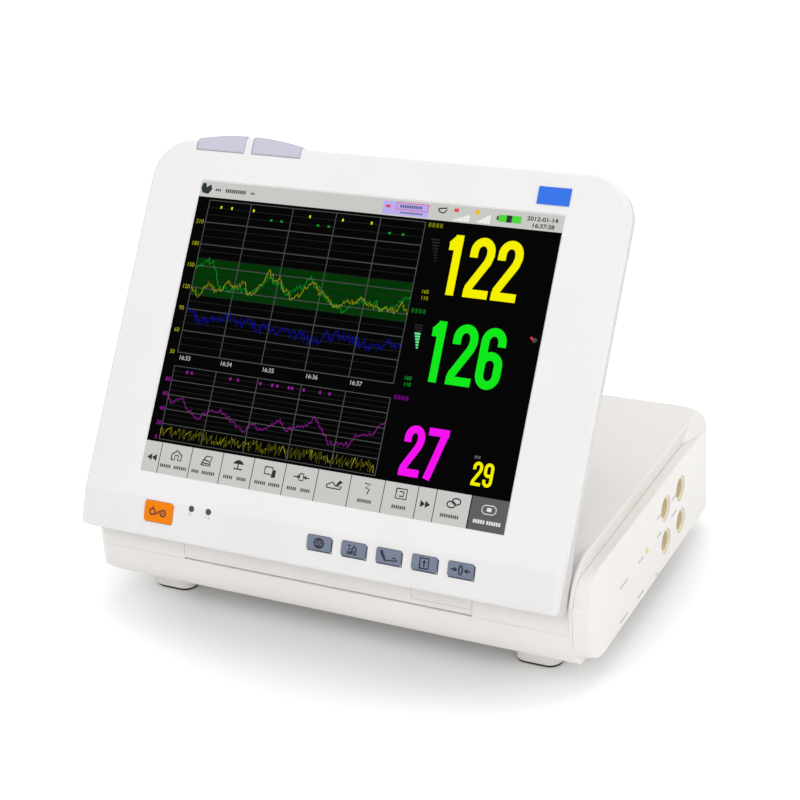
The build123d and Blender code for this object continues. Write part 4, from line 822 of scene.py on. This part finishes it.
# Rows of faint marks on the side: from the cover's front edge, height, half length
SIDE_ROWS = ((87.9, 47.1, 4.2), (58.8, 46.7, 6.0), (87.0, 23.9, 5.0), (57.7, 24.0, 6.0), (115.6, 22.0, 2.4),
             (121.2, 59.5, 4.0), (148.2, 59.0, 3.6), (148.2, 47.5, 4.6), (120.7, 47.0, 3.6))
SIDE_MARK_HALF = 0.7
SIDE_MARK_WIDE = 0.9
SIDE_MARK_STEP = 1.3
SIDE_MARK_LIFT = 0.05


def across(node):
    """How far a node's middle is from the head's middle."""
    return (HEAD_FRAME.inverted() @ middle(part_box(node))).x


def glyphs(lines, shapes, pen, x, y, lift):
    """Lines and filled shapes around a middle point."""
    meshes = []
    if lines:
        meshes.append(ribbon([[(x + px, y + py) for px, py in line] for line in lines], pen, lift))
    for shape in shapes:
        meshes.append(wedge([(x + px, y + py) for px, py in shape], lift))
    return joined(meshes)


def print_strip():
    """Pictograms on the keys, the mark on the power button, painted shade along the keys' lower and right
    edges, and the small prints beside them.
    """
    for name, number, lines, shapes, pen, shift, layers, finish in KEY_MARKS:
        key = f"front_key_{number}"
        mesh = glyphs(lines, shapes, pen, across(key) + shift, KEY_ROW, KEY_FACE + layers * LAYER)
        keep(name, mesh, finish, key, STRIP_FRAME)
    mesh = glyphs(POWER_LINES, [], POWER_PEN, across("power_button") + POWER_SHIFT, POWER_ROW, POWER_FACE)
    keep("power_mark", mesh, INK_BROWN, "power_button", STRIP_FRAME)
    # Painted shade: slate bars that darken the strip along each key's lower and right edge, where the gap
    # around the key falls in shadow
    shade = []
    for number in range(1, 6):
        x = across(f"front_key_{number}")
        shade.append((x - SHADE_LEFT, x + SHADE_RIGHT, SHADE_LOW, SHADE_LOW + SHADE_WIDE))
        shade.append((x + SHADE_RIGHT - SHADE_WIDE, x + SHADE_RIGHT, SHADE_LOW + SHADE_WIDE, SHADE_HIGH))
    keep("key_shade", bars(shade, LAYER), KEY_SHADE_SLATE, "head", STRIP_FRAME)
    mesh = ribbon(SMALL_MARKS, SMALL_PEN, LAYER)
    keep("indicator_marks", mesh, INK_GREY, "head", STRIP_FRAME)


def fit_badge():
    """The plain blue plate at the bezel's upper right."""
    form = bmesh.new()
    form.from_mesh(bars([BADGE], 0))
    raised = bmesh.ops.extrude_face_region(form, geom=form.faces[:])
    corners = [item for item in raised["geom"] if isinstance(item, bmesh.types.BMVert)]
    bmesh.ops.translate(form, verts=corners, vec=(0, 0, BADGE_THICK))
    bmesh.ops.recalc_face_normals(form, faces=form.faces[:])
    keep("badge_plate", from_bmesh(form), BADGE_BLUE, "head", HEAD_FRAME)


def print_side():
    """Faint grey marks printed beside the sockets."""
    low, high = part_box("side_module_cover")
    place = Matrix.Translation((high[0], low[1], 0)) @ Matrix.Rotation(math.pi / 2, 4, "Z")
    place = place @ Matrix.Rotation(math.pi / 2, 4, "X") @ Matrix.Scale(MM, 4)
    marks = []
    for from_front, height, half in SIDE_ROWS:
        x = -half
        while x < half:
            left = from_front + x
            marks.append((left, left + SIDE_MARK_WIDE, height - SIDE_MARK_HALF, height + SIDE_MARK_HALF))
            x += SIDE_MARK_STEP
    keep("side_marks", bars(marks, SIDE_MARK_LIFT), INK_GREY, "base", place)


# Viewpoint of the photograph, worked out from the corners of the screen

CAMERA_FROM_HEAD = (511.564, -881.265, 435.156)
CAMERA_TURN = (65.0612, 3.8882, 26.5814)
FOCAL_LENGTH = 83.5335
SENSOR_WIDTH = 36.0
CLIP_END = 20.0


def place_camera():
    """The camera, given from the middle of the screen in millimetres and turned in degrees."""
    data = bpy.data.cameras.new("viewpoint")
    data.sensor_width = SENSOR_WIDTH
    data.lens = FOCAL_LENGTH
    data.clip_end = CLIP_END
    thing = bpy.data.objects.new("viewpoint", data)
    thing.location = HEAD_ORIGIN + Vector(CAMERA_FROM_HEAD) * MM
    thing.rotation_euler = Euler([math.radians(angle) for angle in CAMERA_TURN])
    bpy.context.scene.collection.objects.link(thing)
    bpy.context.scene.camera = thing


# White floor and surroundings with broad soft light

FLOOR_HALF = 6.0
# Between these distances from the origin the floor gains its own white, past the object's shadow
SHADOW_NEAR = 0.14
SHADOW_FAR = 0.3
FLOOR_WHITE = 0.6
ROOM_LIGHT = 0.56
# Square lamps: place, aim, side length and watts
LAMPS = {
    "key_softbox": ((-0.9, -1.3, 1.5), (0, 0, 0.12), 1.4, 7.0),
    "top_softbox": ((0.2, 0.3, 1.9), (0, 0, 0.1), 1.6, 11.0),
    "side_softbox": ((1.6, -0.4, 0.9), (0, 0, 0.12), 1.2, 6.0),
    "low_softbox": ((0.5, -1.7, 0.3), (0, 0, 0.05), 1.0, 2.2),
}


def seen_by(holder, *rays):
    """One where the ray is one of these kinds, and nothing elsewhere."""
    path = add_node(holder, "ShaderNodeLightPath")
    seen = path.outputs[rays[0]]
    for ray in rays[1:]:
        either = add_node(holder, "ShaderNodeMath", {"operation": "MAXIMUM"}, _0=seen, _1=path.outputs[ray])
        seen = either.outputs[0]
    return seen


def lay_floor():
    """A sheet of white paper that shows the shadow and turns pure white further out."""
    form = bmesh.new()
    bmesh.ops.create_grid(form, x_segments=1, y_segments=1, size=FLOOR_HALF)
    mesh = from_bmesh(form)
    floor = bpy.data.objects.new("studio_floor", mesh)
    bpy.context.scene.collection.objects.link(floor)
    paper = material("paper_sweep", "FBFBFB", 0.9, specular=0.1)
    shading(paper)["Emission Color"].default_value = (1, 1, 1, 1)
    place = add_node(paper, "ShaderNodeTexCoord")
    away = add_node(paper, "ShaderNodeVectorMath", {"operation": "LENGTH"}, _0=place.outputs["Object"])
    spread = add_node(paper, "ShaderNodeMapRange", {"interpolation_type": "SMOOTHSTEP"},
                      Value=away.outputs["Value"], From_Min=SHADOW_NEAR, From_Max=SHADOW_FAR, To_Min=0.0,
                      To_Max=FLOOR_WHITE)
    lift = add_node(paper, "ShaderNodeMath", {"operation": "MULTIPLY"},
                    _0=seen_by(paper, "Is Camera Ray", "Is Glossy Ray"), _1=spread.outputs["Result"])
    paper.node_tree.links.new(lift.outputs[0], shading(paper)["Emission Strength"])
    mesh.materials.append(paper)


def light_room():
    """Surroundings that look white and give even light."""
    world = bpy.data.worlds.new("white_room")
    world.use_nodes = True
    bpy.context.scene.world = world
    background = world.node_tree.nodes["Background"]
    background.inputs["Color"].default_value = (1, 1, 1, 1)
    seen = seen_by(world, "Is Camera Ray", "Is Glossy Ray", "Is Transmission Ray")
    strength = add_node(world, "ShaderNodeMath", {"operation": "MAXIMUM"}, _0=seen, _1=ROOM_LIGHT)
    world.node_tree.links.new(strength.outputs[0], background.inputs["Strength"])


def hang_lamps():
    """The large square lamps around the object."""
    for name, (place, aim, side, watts) in LAMPS.items():
        data = bpy.data.lights.new(name, "AREA")
        data.size = side
        data.energy = watts
        thing = bpy.data.objects.new(name, data)
        thing.location = place
        thing.rotation_euler = (Vector(aim) - Vector(place)).to_track_quat("-Z", "Y").to_euler()
        bpy.context.scene.collection.objects.link(thing)


place_camera()
lay_floor()
light_room()
hang_lamps()
finish_nodes()
draw_charts()
draw_readings()
draw_menu()
draw_status()
print_strip()
fit_badge()
print_side()

scene = bpy.context.scene
scene.view_settings.view_transform = "Standard"
